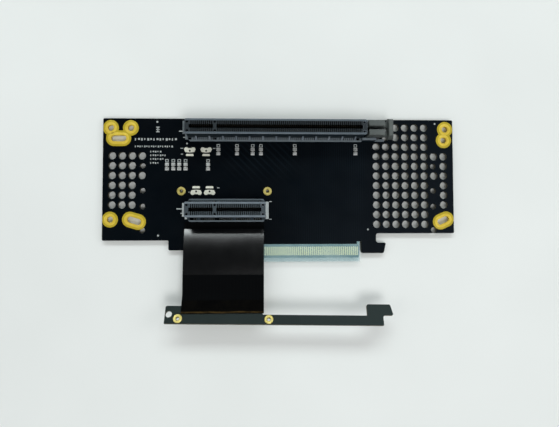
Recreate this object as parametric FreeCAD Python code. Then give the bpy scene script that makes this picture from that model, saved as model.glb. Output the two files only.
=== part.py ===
"""PCI Express riser card: a main board with an x16 and an x4 slot, and a flex ribbon to an edge card.

Millimetres. X runs along the slots, the origin is the key notch's centre on the main board's
finger edge at mid thickness, +Y points from the fingers into the board, +Z is the component side.
Each named node is one STEP file in parts/.
"""
import FreeCAD
import Part
import math
import os

V = FreeCAD.Vector
os.makedirs("parts", exist_ok=True)

# ---------------------------------------------------------------- boards
BOARD_THICK = 1.6
BOARD_LEFT = -57.6            # from the key notch's centre
BOARD_RIGHT = 121.9
BOARD_TOP = 71.0              # from the finger edge
BOARD_LOW_LEFT = 8.9          # lower edge, left of the tongue
BOARD_LOW_RIGHT = 12.3        # lower edge, right of the hook
CORNER_CUT = 0.6              # board corners
COPPER = 0.05                 # plated copper above a board face

# edge profile shared by both boards, measured from the key and the finger edge
KEY_WIDTH = 1.9
KEY_DEPTH = 7.4
TONGUE_LEFT = 12.6            # key centre to the tongue's left end
X16_TONGUE_RIGHT = 72.3
X4_TONGUE_RIGHT = 22.6
TAB_LEFT = 24.4               # shoulder tab, left of the tongue
TAB_RIGHT = 15.6
TAB_EDGE = 3.9                # tab's edge above the finger edge
TAB_GAP_TOP = 7.6             # end of the gap between tab and tongue
HOOK_LEFT = 73.6
HOOK_RIGHT = 81.3             # right side of the hook's stem
HOOK_TIP = 86.4
HOOK_LOW = 2.2
HOOK_HIGH = 7.5
HOOK_SLANT = 1.2
HOOK_GAP_TOP = 8.3
EDGE_BEVEL = 0.4              # depth of the finger edge's bevel
BEVEL_REACH = 3               # its length, in depths

# edge contacts
PIN_PITCH = 1.0
FINGER_WIDTH = 0.7
FINGER_LENGTH = 4.4           # from the end of the bevel
KEY_TO_PIN = 1.5              # key centre to the nearest pin on each side
FINGER_MARGIN = 0.4           # least distance from a contact to its tongue's end

# ventilation field
VENT_R = 1.9
VENT_PITCH = 5.0
VENT_LEFT_X = -52.9           # first column, left field
VENT_RIGHT_X = 81.8           # first column, right field
VENT_ROW_Y = 51.9             # row of both fields that the others count from
VENT_LEFT_COLUMNS = 3
VENT_LEFT_ROWS = 6
VENT_RIGHT_COLUMNS = 6
VENT_RIGHT_ROWS = 11
VENT_RIGHT_ABOVE = 3          # right rows above the shared row
LOCATOR_R = 1.4
LOCATOR_Y = (46.8, 34.2, 26.1, 14.0)
LOCATOR_LEFT_X = -37.5
LOCATOR_RIGHT_X = 111.3
VENT_SIDES = 8                # flats that stand for the vents' and other small round forms
LOCATOR_SIDES = 6             # for the smallest
LAND_SIDES = 12               # for the larger

# mounting holes and their lands
MOUNT_R = 1.6
LAND_R = 4.0
LAND_CLEARANCE = 0.1          # land's hole beyond the board's
MOUNT_LEFT_X = -53.7
MOUNT_TOP_Y = 66.1
MOUNT_LOW_Y = 19.5
MOUNT_RIGHT_X = 117.8
LAND_STEP_X = 10.0            # second land to the right of the left mounting holes
LOW_LOBE = (4.0, -1.2)        # second centre of the lower left oblong land
RIGHT_LOBE = (-2.9, -1.3)     # second centre of the lower right oblong land
TOP_SLOT = (1.6, -5.3, 4.6)   # offset x, offset y and centre-to-centre length of the slotted land
RIGHT_STEP = (-0.7, -5.7)     # second hole of the upper right land

# ---------------------------------------------------------------- slot connectors
SLOT_X16_Y = 64.7
SLOT_SPACING = 40.64
SLOT_HALF = 0.9
SLOT_LEFT = 12.65             # key centre to the slot's left end
X16_SLOT_RIGHT = 72.65
X4_SLOT_RIGHT = 22.65
KEY_RIB = 1.7
END_WALL = 2.0
HOUSING_HEIGHT = 11.25
HOUSING_HALF = 3.75
LEDGE_HALF = 5.75
LEDGE_HEIGHT = 2.6
LEDGE_CORNER = 1.3            # cut corners of the ledge
STANDOFF = 0.4                # housing floor above the board, room for the tails
SLOT_FLOOR = 2.8
LIP = 1.35                    # solid lip above the contact cavities
CAVITY_HALF = 1.6
MOUTH_CHAMFER = 0.4
GUSSET_PITCH = 6.68
GUSSET_THICK = 0.8
GUSSET_HEIGHT = 3.4
GUSSET_REACH = 1.2
LEDGE_NOTCH = 1.8             # notches left of the slot's ends and of the key
LEDGE_RIM = 0.8
WINDOW_PITCH = 8.9            # ribs between the x4 ledge's windows, none at the key
WINDOW_RIB = 1.6
WINDOW_END = 1.1              # from the housing's left end
PEG_R = 1.15
PEG_CLEARANCE = 0.08
PEG_PROUD = 1.0               # peg below the board's back
CONTACT_THICK = 0.25
CONTACT_TIP = 0.5             # half gap between opposite contacts
CONTACT_CREST = 7.2
CONTACT_BEND = 2.4            # height of the bend from the wall to the crest
CONTACT_TOP_GAP = 0.6         # contact's end below the housing's lip
TAIL_END = 5.5                # outer end of the solder tails

# hold-down clips at the connectors' ends
CLIP_THICK = 0.35
CLIP_HALF = 2.5
CLIP_HEIGHT = 8.0
CLIP_FOOT_HALF = 4.4
CLIP_FOOT = 1.6

# retention latch on the x16 connector
LATCH_PIVOT = 2.95            # beyond the housing's end
LATCH_PIVOT_Z = 3.0
LATCH_BOSS_R = 0.9
LATCH_BOSS_CLEARANCE = 0.08
LATCH_HUB_R = 1.9
LATCH_HALF = 3.65
LATCH_GAP = 0.95              # half of the gap that the card's hook enters
LATCH_BLOCK_START = 1.6       # cheek's front face, before the pivot
LATCH_BLOCK_END = 6.2
LATCH_BLOCK_HEIGHT = 10.2
LATCH_VALLEY = 6.2
LEVER_INNER = 8.3
LEVER_THICK = 2.0             # at its top
LEVER_SLOPE = 1.4             # its outer face's lean over its height
LEVER_LOW = 4.5
LEVER_HEIGHT = 10.2
LEVER_HALF = 5.0
LEVER_TAPER = 1.1             # narrower on each side at the top
LEVER_SHOULDER = 7.0          # height where the taper starts
CRADLE_GAP = 0.3
CRADLE_ROOT = 1.0             # arm's overlap with the housing
CRADLE_THICK = 1.25
CRADLE_TALL = 4.6
CRADLE_ARM = 6.2              # tall part, beyond the housing's end
CRADLE_LOW = 0.9
CRADLE_RAIL = 4.8             # low part beyond the tall one

# ---------------------------------------------------------------- flex ribbon and edge card
CARD_X = 0.7                  # key of the edge card
CARD_Y = -19.3                # its finger edge
CARD_Z = 7.2                  # its component face at the finger edge
CARD_TILT = 24.6
CARD_SKEW = -1.0
CARD_DEPTH = 12.5             # finger edge to back edge
CARD_ROOT = 7.8               # finger edge to the strip
CARD_HOLE = (-22.6, 7.9)
INSERT_SPACING = 43.7
INSERT_CENTRE = 3.8
INSERT_R = 2.15
INSERT_BORE_R = 0.8
INSERT_COLLAR = 0.5
INSERT_SHANK_R = 1.5
BOARD_INSERT_RISE = 9.84      # above the x4 slot's centre
CARD_INSERT_DEPTH = 10.1

RIBBON_WIDTH = 40.0
RIBBON_CENTRE = 3.8
RIBBON_THICK = 0.3
RIBBON_CLEARANCE = 0.3        # x4 housing's ledge to the ribbon's end
RIBBON_BOND = 1.4
BOND_THICK = 0.1
RIBBON_RISE = 22.0            # slopes, degrees
RIBBON_MID = 2.0
RIBBON_R1 = 3.0
RIBBON_R2 = 60.0
RIBBON_R3 = 8.0
RIBBON_LEAD = 0.6             # straight before the card's finger edge
TAPE_THICK = 0.08
TAPE_LENGTH = 6.6
CARD_BOND = (0.2, 1.5)         # adhesive strip on the card, before the strip's edge

# translucent cover on the x16 tongue
COVER_WALL = 0.35
COVER_GAP = 0.1
COVER_HIGH = 6.9
COVER_LOW = -2.0
COVER_SIDE = 0.35

# small parts
CHIP_LENGTH = 2.0
CHIP_WIDTH = 1.25
CHIP_HEIGHT = 0.8
CHIP_ROWS = (                 # distance below the x16 slot's centre, and the chips' places along X
    (10.5, (0.6, 10.1, 18.1, 22.3)),
    (10.4, (39.7,)),
    (10.3, (71.0,)),
    (18.3, (-25.4, -22.2, -19.2, -16.0, -4.6)),
)
LAND_WIDE = (5.8, 2.8)
LAND_SLIM = (5.0, 1.2)
LAND_SPACING = 2.5            # centre to centre
UPPER_LANDS_DROP = 9.8        # wide lands below the x16 slot's centre, slim ones under them
UPPER_LANDS_X = (-13.9, -5.6)
LOWER_LANDS_RISE = 9.34       # wide lands above the x4 slot's centre, slim ones over them
LOWER_LANDS_X = (-10.6, -3.8)

TOP = BOARD_THICK / 2
BACK = -BOARD_THICK / 2
SLOT_X4_Y = SLOT_X16_Y - SLOT_SPACING
RIBBON_START = SLOT_X4_Y - LEDGE_HALF - RIBBON_CLEARANCE


# ---------------------------------------------------------------- helpers
def box(x0, x1, y0, y1, z0, z1):
    """Box between two opposite corners."""
    return Part.makeBox(x1 - x0, y1 - y0, z1 - z0, V(x0, y0, z0))


def rod(x, y, radius, z0, z1):
    """Upright cylinder."""
    return Part.makeCylinder(radius, z1 - z0, V(x, y, z0), V(0, 0, 1))


def plate(points, z0, z1):
    """Flat plate from an outline of (x, y) points."""
    corners = [V(x, y, z0) for x, y in points]
    face = Part.Face(Part.makePolygon(corners + [corners[0]]))
    return face.extrude(V(0, 0, z1 - z0))


def side_plate(points, y0, y1):
    """Plate standing along X from an outline of (x, z) points."""
    corners = [V(x, y0, z) for x, z in points]
    face = Part.Face(Part.makePolygon(corners + [corners[0]]))
    return face.extrude(V(0, y1 - y0, 0))


def bar(points, x0, x1):
    """Bar running along X with a section of (y, z) points."""
    corners = [V(x0, y, z) for y, z in points]
    face = Part.Face(Part.makePolygon(corners + [corners[0]]))
    return face.extrude(V(x1 - x0, 0, 0))


def facet_reach(radius, sides):
    """Corner radius of a regular polygon with the area of a circle."""
    return radius * math.sqrt(2 * math.pi / (sides * math.sin(2 * math.pi / sides)))


def prism(x, y, radius, sides, z0, z1):
    """Upright faceted cylinder."""
    return stadium(x, y, x, y, radius, sides, z0, z1)


def stadium(x0, y0, x1, y1, radius, sides, z0, z1):
    """Upright faceted plate with round ends about two centres, or a prism where they are one."""
    reach = facet_reach(radius, sides)
    along = math.atan2(y1 - y0, x1 - x0)
    points = []
    for n in range(sides):
        angle = 2 * math.pi * (n + 0.5) / sides
        x, y = (x0, y0) if n >= sides / 4 and n < sides * 3 / 4 else (x1, y1)
        points.append((x + reach * math.cos(along + angle), y + reach * math.sin(along + angle)))
    return plate(points, z0, z1)


def chamfer_upright_edges(solid, size, places):
    """Chamfer the upright edges that stand at the given (x, y) places."""
    chosen = []
    for edge in solid.Edges:
        low = edge.BoundBox
        if low.ZLength > BOARD_THICK / 2 and low.XLength < 1e-6 and low.YLength < 1e-6:
            for x, y in places:
                if abs(low.XMin - x) < 1e-4 and abs(low.YMin - y) < 1e-4:
                    chosen.append(edge)
    return solid.makeChamfer(size, chosen)


def save(name, shape):
    """Write one node."""
    shape.exportStep("parts/" + name + ".step")


# ---------------------------------------------------------------- boards
def edge_profile(tongue_right):
    """Outline of a card edge from the tab's left side to the hook's right side, left to right."""
    half_key = KEY_WIDTH / 2
    return [
        (-TAB_LEFT, TAB_EDGE),
        (-TAB_RIGHT, TAB_EDGE),
        (-TAB_RIGHT, TAB_GAP_TOP),
        (-TONGUE_LEFT, TAB_GAP_TOP),
        (-TONGUE_LEFT, 0),
        (-half_key, 0),
        (-half_key, KEY_DEPTH),
        (half_key, KEY_DEPTH),
        (half_key, 0),
        (tongue_right, 0),
    ]


def hook_profile(gap_left, gap_top):
    """Outline of the hook, from the end of the gap before it to the right side of its stem."""
    return [
        (gap_left, gap_top),
        (HOOK_LEFT, gap_top),
        (HOOK_LEFT, HOOK_LOW),
        (HOOK_TIP - HOOK_SLANT, HOOK_LOW),
        (HOOK_TIP, HOOK_HIGH),
        (HOOK_RIGHT, HOOK_HIGH),
    ]


def bevel_tongue(board, x0, x1):
    """Bevel both faces of a tongue's finger edge."""
    reach = BEVEL_REACH * EDGE_BEVEL
    upper = bar([(0, TOP - EDGE_BEVEL), (0, TOP + 1), (reach, TOP + 1), (reach, TOP)], x0, x1)
    lower = bar([(0, BACK + EDGE_BEVEL), (0, BACK - 1), (reach, BACK - 1), (reach, BACK)], x0, x1)
    return board.cut([upper, lower])


def vent_places():
    """Centres of the large ventilation holes."""
    places = []
    for column in range(VENT_LEFT_COLUMNS):
        for row in range(VENT_LEFT_ROWS):
            places.append((VENT_LEFT_X + column * VENT_PITCH, VENT_ROW_Y - row * VENT_PITCH))
    for row in (0, 2):
        places.append((VENT_LEFT_X + VENT_LEFT_COLUMNS * VENT_PITCH, VENT_ROW_Y - row * VENT_PITCH))
        places.append((VENT_RIGHT_X + VENT_RIGHT_COLUMNS * VENT_PITCH, VENT_ROW_Y - row * VENT_PITCH))
    for column in range(VENT_RIGHT_COLUMNS):
        for row in range(VENT_RIGHT_ROWS):
            drop = row - VENT_RIGHT_ABOVE
            places.append((VENT_RIGHT_X + column * VENT_PITCH, VENT_ROW_Y - drop * VENT_PITCH))
    for row in range(VENT_LEFT_ROWS):
        last = VENT_RIGHT_X + (VENT_RIGHT_COLUMNS + 1) * VENT_PITCH
        places.append((last, VENT_ROW_Y - row * VENT_PITCH))
    return places


def screw_holes():
    """Centres of the three round corner holes, which take screws."""
    return [(MOUNT_LEFT_X, MOUNT_TOP_Y), (MOUNT_LEFT_X, MOUNT_LOW_Y), (MOUNT_RIGHT_X, MOUNT_TOP_Y)]


def other_lobes():
    """The lands' other lobes as pairs of centres: the same centre twice for a round one."""
    left, right, top, low = MOUNT_LEFT_X, MOUNT_RIGHT_X, MOUNT_TOP_Y, MOUNT_LOW_Y
    second = left + LAND_STEP_X
    slot_x, slot_y = left + TOP_SLOT[0], top + TOP_SLOT[1]
    step_x, step_y = right + RIGHT_STEP[0], top + RIGHT_STEP[1]
    return [
        (second, top, second, top),
        (slot_x, slot_y, slot_x + TOP_SLOT[2], slot_y),
        (second, low, second + LOW_LOBE[0], low + LOW_LOBE[1]),
        (step_x, step_y, step_x, step_y),
        (right + RIGHT_LOBE[0], low + RIGHT_LOBE[1], right, low),
    ]


def land_shapes(radius, sides, z0, z1):
    """Plates of the lands' size, or of their holes' size, at all the lobes."""
    lobes = [(x, y, x, y) for x, y in screw_holes()] + other_lobes()
    return [stadium(x0, y0, x1, y1, radius, sides, z0, z1) for x0, y0, x1, y1 in lobes]


def peg_places():
    """Centres of the connectors' locating pegs."""
    return [
        (0, SLOT_X16_Y),
        (X16_SLOT_RIGHT, SLOT_X16_Y),
        (0, SLOT_X4_Y),
        (X4_SLOT_RIGHT, SLOT_X4_Y),
    ]


def insert_places(depth):
    """Centres of a board's two threaded inserts."""
    half = INSERT_SPACING / 2
    return [(INSERT_CENTRE - half, depth), (INSERT_CENTRE + half, depth)]


def main_board():
    """The large board with its tongue, hook, vent field and drilled holes."""
    outline = [(BOARD_LEFT, BOARD_TOP), (BOARD_LEFT, BOARD_LOW_LEFT), (-TAB_LEFT, BOARD_LOW_LEFT)]
    outline += edge_profile(X16_TONGUE_RIGHT)
    outline += hook_profile(X16_TONGUE_RIGHT, HOOK_GAP_TOP)
    outline += [(HOOK_RIGHT, BOARD_LOW_RIGHT), (BOARD_RIGHT, BOARD_LOW_RIGHT), (BOARD_RIGHT, BOARD_TOP)]
    board = plate(outline, BACK, TOP)
    board = bevel_tongue(board, -TONGUE_LEFT, X16_TONGUE_RIGHT)
    corners = [
        (BOARD_LEFT, BOARD_TOP),
        (BOARD_LEFT, BOARD_LOW_LEFT),
        (-TAB_LEFT, TAB_EDGE),
        (HOOK_LEFT, HOOK_LOW),
        (HOOK_TIP - HOOK_SLANT, HOOK_LOW),
        (HOOK_TIP, HOOK_HIGH),
        (HOOK_RIGHT, HOOK_HIGH),
        (HOOK_RIGHT, BOARD_LOW_RIGHT),
        (BOARD_RIGHT, BOARD_LOW_RIGHT),
        (BOARD_RIGHT, BOARD_TOP),
    ]
    board = chamfer_upright_edges(board, CORNER_CUT, corners)
    low, high = BACK - 1, TOP + 1
    drills = [prism(x, y, VENT_R, VENT_SIDES, low, high) for x, y in vent_places()]
    for y in LOCATOR_Y:
        drills.append(prism(LOCATOR_LEFT_X, y, LOCATOR_R, LOCATOR_SIDES, low, high))
        drills.append(prism(LOCATOR_RIGHT_X, y, LOCATOR_R, LOCATOR_SIDES, low, high))
    drills += [rod(x, y, MOUNT_R, low, high) for x, y in screw_holes()]
    for x0, y0, x1, y1 in other_lobes():
        drills.append(stadium(x0, y0, x1, y1, MOUNT_R, LAND_SIDES, low, high))
    drills += [prism(x, y, PEG_R + PEG_CLEARANCE, VENT_SIDES, low, high) for x, y in peg_places()]
    drills += [prism(x, y, INSERT_SHANK_R, LOCATOR_SIDES, low, high) for x, y in insert_places(SLOT_X4_Y + BOARD_INSERT_RISE)]
    return board.cut(drills)


def mounting_lands(z0, z1):
    """Plated lands round the mounting holes, trimmed to the board."""
    lobes = land_shapes(LAND_R, LAND_SIDES, z0, z1)
    land = lobes[0].fuse(lobes[1:])
    land = land.common(box(BOARD_LEFT, BOARD_RIGHT, BOARD_LOW_RIGHT, BOARD_TOP, z0, z1))
    holes = land_shapes(MOUNT_R + LAND_CLEARANCE, VENT_SIDES, z0 - 1, z1 + 1)
    return land.cut(holes).removeSplitter()


def finger_row(tongue_right, z0):
    """One face's row of edge contacts, in the frame of its tongue."""
    half = FINGER_WIDTH / 2
    places = []
    for way, end in ((-1, TONGUE_LEFT), (1, tongue_right)):
        count = int((end - FINGER_MARGIN - half - KEY_TO_PIN) / PIN_PITCH) + 1
        places += [way * (KEY_TO_PIN + PIN_PITCH * n) for n in range(count)]
    start = BEVEL_REACH * EDGE_BEVEL
    row = [box(x - half, x + half, start, start + FINGER_LENGTH, z0, z0 + COPPER) for x in places]
    return Part.makeCompound(row)


def insert_blank(x, y):
    """Brass insert before its bore: a collar on the component side and a shank through the board."""
    collar = prism(x, y, INSERT_R, LAND_SIDES, TOP, TOP + INSERT_COLLAR)
    shank = prism(x, y, INSERT_SHANK_R, LOCATOR_SIDES, BACK, TOP)
    return collar.fuse(shank)


def board_inserts():
    """The main board's inserts with their round bores."""
    places = insert_places(SLOT_X4_Y + BOARD_INSERT_RISE)
    return [insert_blank(x, y).cut(rod(x, y, INSERT_BORE_R, BACK - 1, TOP + 1)) for x, y in places]


def card_inserts():
    """The card's inserts, made as on the main board, with faceted bores."""
    places = insert_places(CARD_INSERT_DEPTH)
    bores = [prism(x, y, INSERT_BORE_R, VENT_SIDES, BACK - 1, TOP + 1) for x, y in places]
    return [insert_blank(x, y).cut(bore) for (x, y), bore in zip(places, bores)]


# ---------------------------------------------------------------- slot connectors
def on_both_sides(piece, y):
    """A piece and its mirror image about the slot's centre plane."""
    return [piece, piece.mirror(V(0, y, 0), V(0, 1, 0))]


def slot_segments(slot_right):
    """The two stretches of a slot, left and right of the key rib."""
    half = KEY_RIB / 2
    return [(-SLOT_LEFT, -half), (half, slot_right)]


def ledge_outline(left, right, y):
    """Outline of the ledge round a housing's foot, with cut corners."""
    low, high = y - LEDGE_HALF, y + LEDGE_HALF
    cut = LEDGE_CORNER
    return [
        (left, low + cut),
        (left + cut, low),
        (right - cut, low),
        (right, low + cut),
        (right, high - cut),
        (right - cut, high),
        (left + cut, high),
        (left, high - cut),
    ]


def gussets(y, slot_right):
    """Gussets between the wall and the ledge, on both sides."""
    foot, root = TOP + LEDGE_HEIGHT, y - HOUSING_HALF
    section = [(root, foot), (root, foot + GUSSET_HEIGHT), (root - GUSSET_REACH, foot)]
    pieces = []
    for n in range(-int(SLOT_LEFT / GUSSET_PITCH + 0.5), int(slot_right / GUSSET_PITCH + 0.5)):
        x = (n + 0.5) * GUSSET_PITCH
        pieces += on_both_sides(bar(section, x - GUSSET_THICK / 2, x + GUSSET_THICK / 2), y)
    return pieces


def ledge_windows(slot_right):
    """Stretches of a ledge that are open above the solder tails, with ribs between them."""
    windows = []
    start = -SLOT_LEFT - END_WALL + WINDOW_END
    for n in range(-1, int((slot_right - WINDOW_RIB) / WINDOW_PITCH) + 1):
        if n != 0:
            windows.append((start, n * WINDOW_PITCH - WINDOW_RIB / 2))
            start = n * WINDOW_PITCH + WINDOW_RIB / 2
    return windows + [(start, slot_right)]


def housing(y, slot_right, windows):
    """Moulded card-edge connector housing; windows open its lower ledge in place of gussets."""
    left = -SLOT_LEFT - END_WALL
    right = slot_right + END_WALL
    floor = TOP + STANDOFF
    crown = TOP + HOUSING_HEIGHT
    ledge = TOP + LEDGE_HEIGHT
    body = box(left, right, y - HOUSING_HALF, y + HOUSING_HALF, floor, crown)
    added = [plate(ledge_outline(left, right, y), floor, ledge)]
    for x in (left + END_WALL / 2, 0, right - END_WALL / 2):
        added.append(box(x - END_WALL / 2, x + END_WALL / 2, y - CAVITY_HALF, y + CAVITY_HALF, TOP, floor))
    if not windows:
        added += gussets(y, slot_right)
    body = body.fuse(added).removeSplitter()
    cuts = []
    for x0, x1 in slot_segments(slot_right):
        cuts.append(box(x0, x1, y - SLOT_HALF, y + SLOT_HALF, TOP + SLOT_FLOOR, crown + 1))
        cavity = box(x0, x1, y + SLOT_HALF, y + CAVITY_HALF, floor - 1, crown - LIP)
        cuts += on_both_sides(cavity, y)
        mouth = bar([
            (y + SLOT_HALF, crown - MOUTH_CHAMFER),
            (y + SLOT_HALF, crown),
            (y + SLOT_HALF + MOUTH_CHAMFER, crown),
        ], x0, x1)
        cuts += on_both_sides(mouth, y)
    inner = y + HOUSING_HALF
    outer = y + LEDGE_HALF - LEDGE_RIM
    for x in (-SLOT_LEFT, 0, slot_right):
        pocket = box(x - LEDGE_NOTCH, x, inner, outer, floor - 1, ledge + 1)
        cuts += [pocket] if windows else on_both_sides(pocket, y)
    for x0, x1 in windows:
        cuts.append(box(x0, x1, 2 * y - outer, 2 * y - inner, floor - 1, ledge + 1))
    return body.cut(cuts)


def pegs(x_places, y):
    """Locating pegs below a housing."""
    root = TOP + STANDOFF + 0.5
    return [prism(x, y, PEG_R, VENT_SIDES, BACK - PEG_PROUD, root) for x in x_places]


def contact_rows(y, slot_right):
    """Spring contacts with solder tails, one solid for each row between walls."""
    outer = CAVITY_HALF
    inner = CAVITY_HALF - CONTACT_THICK
    crest = TOP + CONTACT_CREST
    tip = TOP + HOUSING_HEIGHT - LIP - CONTACT_TOP_GAP
    section = [
        (y + TAIL_END, TOP),
        (y + TAIL_END, TOP + CONTACT_THICK),
        (y + outer, TOP + CONTACT_THICK),
        (y + outer, crest - CONTACT_BEND),
        (y + CONTACT_TIP + CONTACT_THICK, crest),
        (y + outer - 0.1, tip),
        (y + inner - 0.1, tip),
        (y + CONTACT_TIP, crest),
        (y + inner, crest - CONTACT_BEND),
        (y + inner, TOP),
    ]
    rows = []
    for x0, x1 in slot_segments(slot_right):
        rows += on_both_sides(bar(section, x0 + 0.4, x1 - 0.4), y)
    return Part.makeCompound(rows)


def hold_down(x, y, outward):
    """Metal clip against a housing's end wall, with two solder feet."""
    x0, x1 = sorted((x, x + outward * CLIP_THICK))
    foot0, foot1 = sorted((x, x + outward * CLIP_FOOT))
    clip = box(x0, x1, y - CLIP_HALF, y + CLIP_HALF, TOP + CLIP_THICK, TOP + CLIP_HEIGHT)
    foot = box(foot0, foot1, y + CLIP_HALF - 1.0, y + CLIP_FOOT_HALF, TOP, TOP + CLIP_THICK)
    return clip.fuse(on_both_sides(foot, y)).removeSplitter()


def cradle(y):
    """Arms beside the latch, part of the x16 housing, with its pivot holes."""
    start = X16_SLOT_RIGHT + END_WALL
    end = start + CRADLE_ARM
    near = y + LATCH_HALF + CRADLE_GAP
    arm = side_plate([
        (start - CRADLE_ROOT, TOP),
        (end + CRADLE_RAIL, TOP),
        (end + CRADLE_RAIL, TOP + CRADLE_LOW),
        (end, TOP + CRADLE_LOW),
        (end, TOP + CRADLE_TALL),
        (start - CRADLE_ROOT, TOP + CRADLE_TALL),
    ], near, near + CRADLE_THICK)
    outline = facet_corners(latch_pivot_x(), TOP + LATCH_PIVOT_Z, LATCH_BOSS_R + LATCH_BOSS_CLEARANCE)
    hole = side_plate(outline, near - 1, near + CRADLE_THICK + 1)
    return on_both_sides(arm.cut(hole), y)


def facet_corners(x, z, radius):
    """Corners of a faceted circle in the XZ plane."""
    reach = facet_reach(radius, LAND_SIDES)
    corners = []
    for n in range(LAND_SIDES):
        angle = 2 * math.pi * (n + 0.5) / LAND_SIDES
        corners.append((x + reach * math.cos(angle), z + reach * math.sin(angle)))
    return corners


def latch_pivot_x():
    """The latch's pivot, from the x16 housing's end."""
    return X16_SLOT_RIGHT + END_WALL + LATCH_PIVOT


def latch_cheek(y):
    """One cheek of the latch: the block that holds the card's hook, its hub and its boss."""
    px, pz = latch_pivot_x(), TOP + LATCH_PIVOT_Z
    hub_corners = facet_corners(px, pz, LATCH_HUB_R)
    hub_low = min(z for x, z in hub_corners)
    lever_end = px + LEVER_INNER + LEVER_THICK + LEVER_SLOPE
    cheek = side_plate([
        (px, hub_low),
        (lever_end, TOP + LEVER_LOW),
        (px + LEVER_INNER, TOP + LATCH_VALLEY),
        (px + LATCH_BLOCK_END, TOP + LATCH_VALLEY),
        (px + LATCH_BLOCK_END, TOP + LATCH_BLOCK_HEIGHT),
        (px - LATCH_BLOCK_START, TOP + LATCH_BLOCK_HEIGHT),
        (px - LATCH_HUB_R, pz),
        (px, pz),
    ], y + LATCH_GAP, y + LATCH_HALF)
    hub = side_plate(hub_corners, y + LATCH_GAP, y + LATCH_HALF)
    reach = CRADLE_GAP + CRADLE_THICK - 0.1
    boss = Part.makeCylinder(LATCH_BOSS_R, reach + 0.5, V(px, y + LATCH_HALF - 0.5, pz), V(0, 1, 0))
    return cheek.fuse([hub, boss])


def thumb_lever(y):
    """The latch's lever: a leaning plate across both cheeks, narrower towards its top."""
    inner = latch_pivot_x() + LEVER_INNER
    end = inner + LEVER_THICK + LEVER_SLOPE
    low, high = TOP + LEVER_LOW, TOP + LEVER_HEIGHT
    side = side_plate([
        (inner, low),
        (end, low),
        (end - LEVER_SLOPE, high),
        (inner, high),
    ], y - LEVER_HALF, y + LEVER_HALF)
    front = bar([
        (y - LEVER_HALF, low),
        (y + LEVER_HALF, low),
        (y + LEVER_HALF, TOP + LEVER_SHOULDER),
        (y + LEVER_HALF - LEVER_TAPER, high),
        (y - LEVER_HALF + LEVER_TAPER, high),
        (y - LEVER_HALF, TOP + LEVER_SHOULDER),
    ], inner, end)
    return side.common(front)


def latch(y):
    """Retention latch: two cheeks with their pivot bosses and a thumb lever."""
    return thumb_lever(y).fuse(on_both_sides(latch_cheek(y), y)).removeSplitter()


# ---------------------------------------------------------------- edge card and ribbon
def tilt_to_card(shape):
    """Tilt a shape whose top face is z = 0 to the card's slope and set it down in its place."""
    placed = shape.copy()
    placed.rotate(V(0, 0, 0), V(1, 0, 0), -CARD_TILT)
    placed.translate(V(CARD_X, CARD_Y, CARD_Z))
    return placed


def edge_card():
    """The second board: a strip with a tab, an x4 tongue and a hook, top face at z = 0."""
    outline = [(-TAB_LEFT, CARD_DEPTH)]
    outline += edge_profile(X4_TONGUE_RIGHT)
    outline += hook_profile(X4_TONGUE_RIGHT, CARD_ROOT)
    outline += [(HOOK_RIGHT, CARD_DEPTH)]
    board = plate(outline, BACK, TOP)
    board = bevel_tongue(board, -TONGUE_LEFT, X4_TONGUE_RIGHT)
    corners = [
        (-TAB_LEFT, TAB_EDGE),
        (-TAB_RIGHT, TAB_EDGE),
        (HOOK_LEFT, HOOK_LOW),
        (HOOK_TIP - HOOK_SLANT, HOOK_LOW),
        (HOOK_TIP, HOOK_HIGH),
        (HOOK_RIGHT, HOOK_HIGH),
    ]
    board = chamfer_upright_edges(board, CORNER_CUT, corners)
    low, high = BACK - 1, TOP + 1
    drills = [prism(CARD_HOLE[0], CARD_HOLE[1], MOUNT_R, VENT_SIDES, low, high)]
    drills += [prism(x, y, INSERT_SHANK_R, LOCATOR_SIDES, low, high) for x, y in insert_places(CARD_INSERT_DEPTH)]
    return board.cut(drills)


def to_card(shape):
    """Put a shape made like the main board's (fingers down, face up) onto the card's place."""
    placed = shape.mirror(V(0, 0, 0), V(0, 1, 0))
    placed.translate(V(0, 0, -TOP))
    placed.rotate(V(0, 0, 0), V(0, 0, 1), CARD_SKEW)
    return tilt_to_card(placed)


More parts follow.
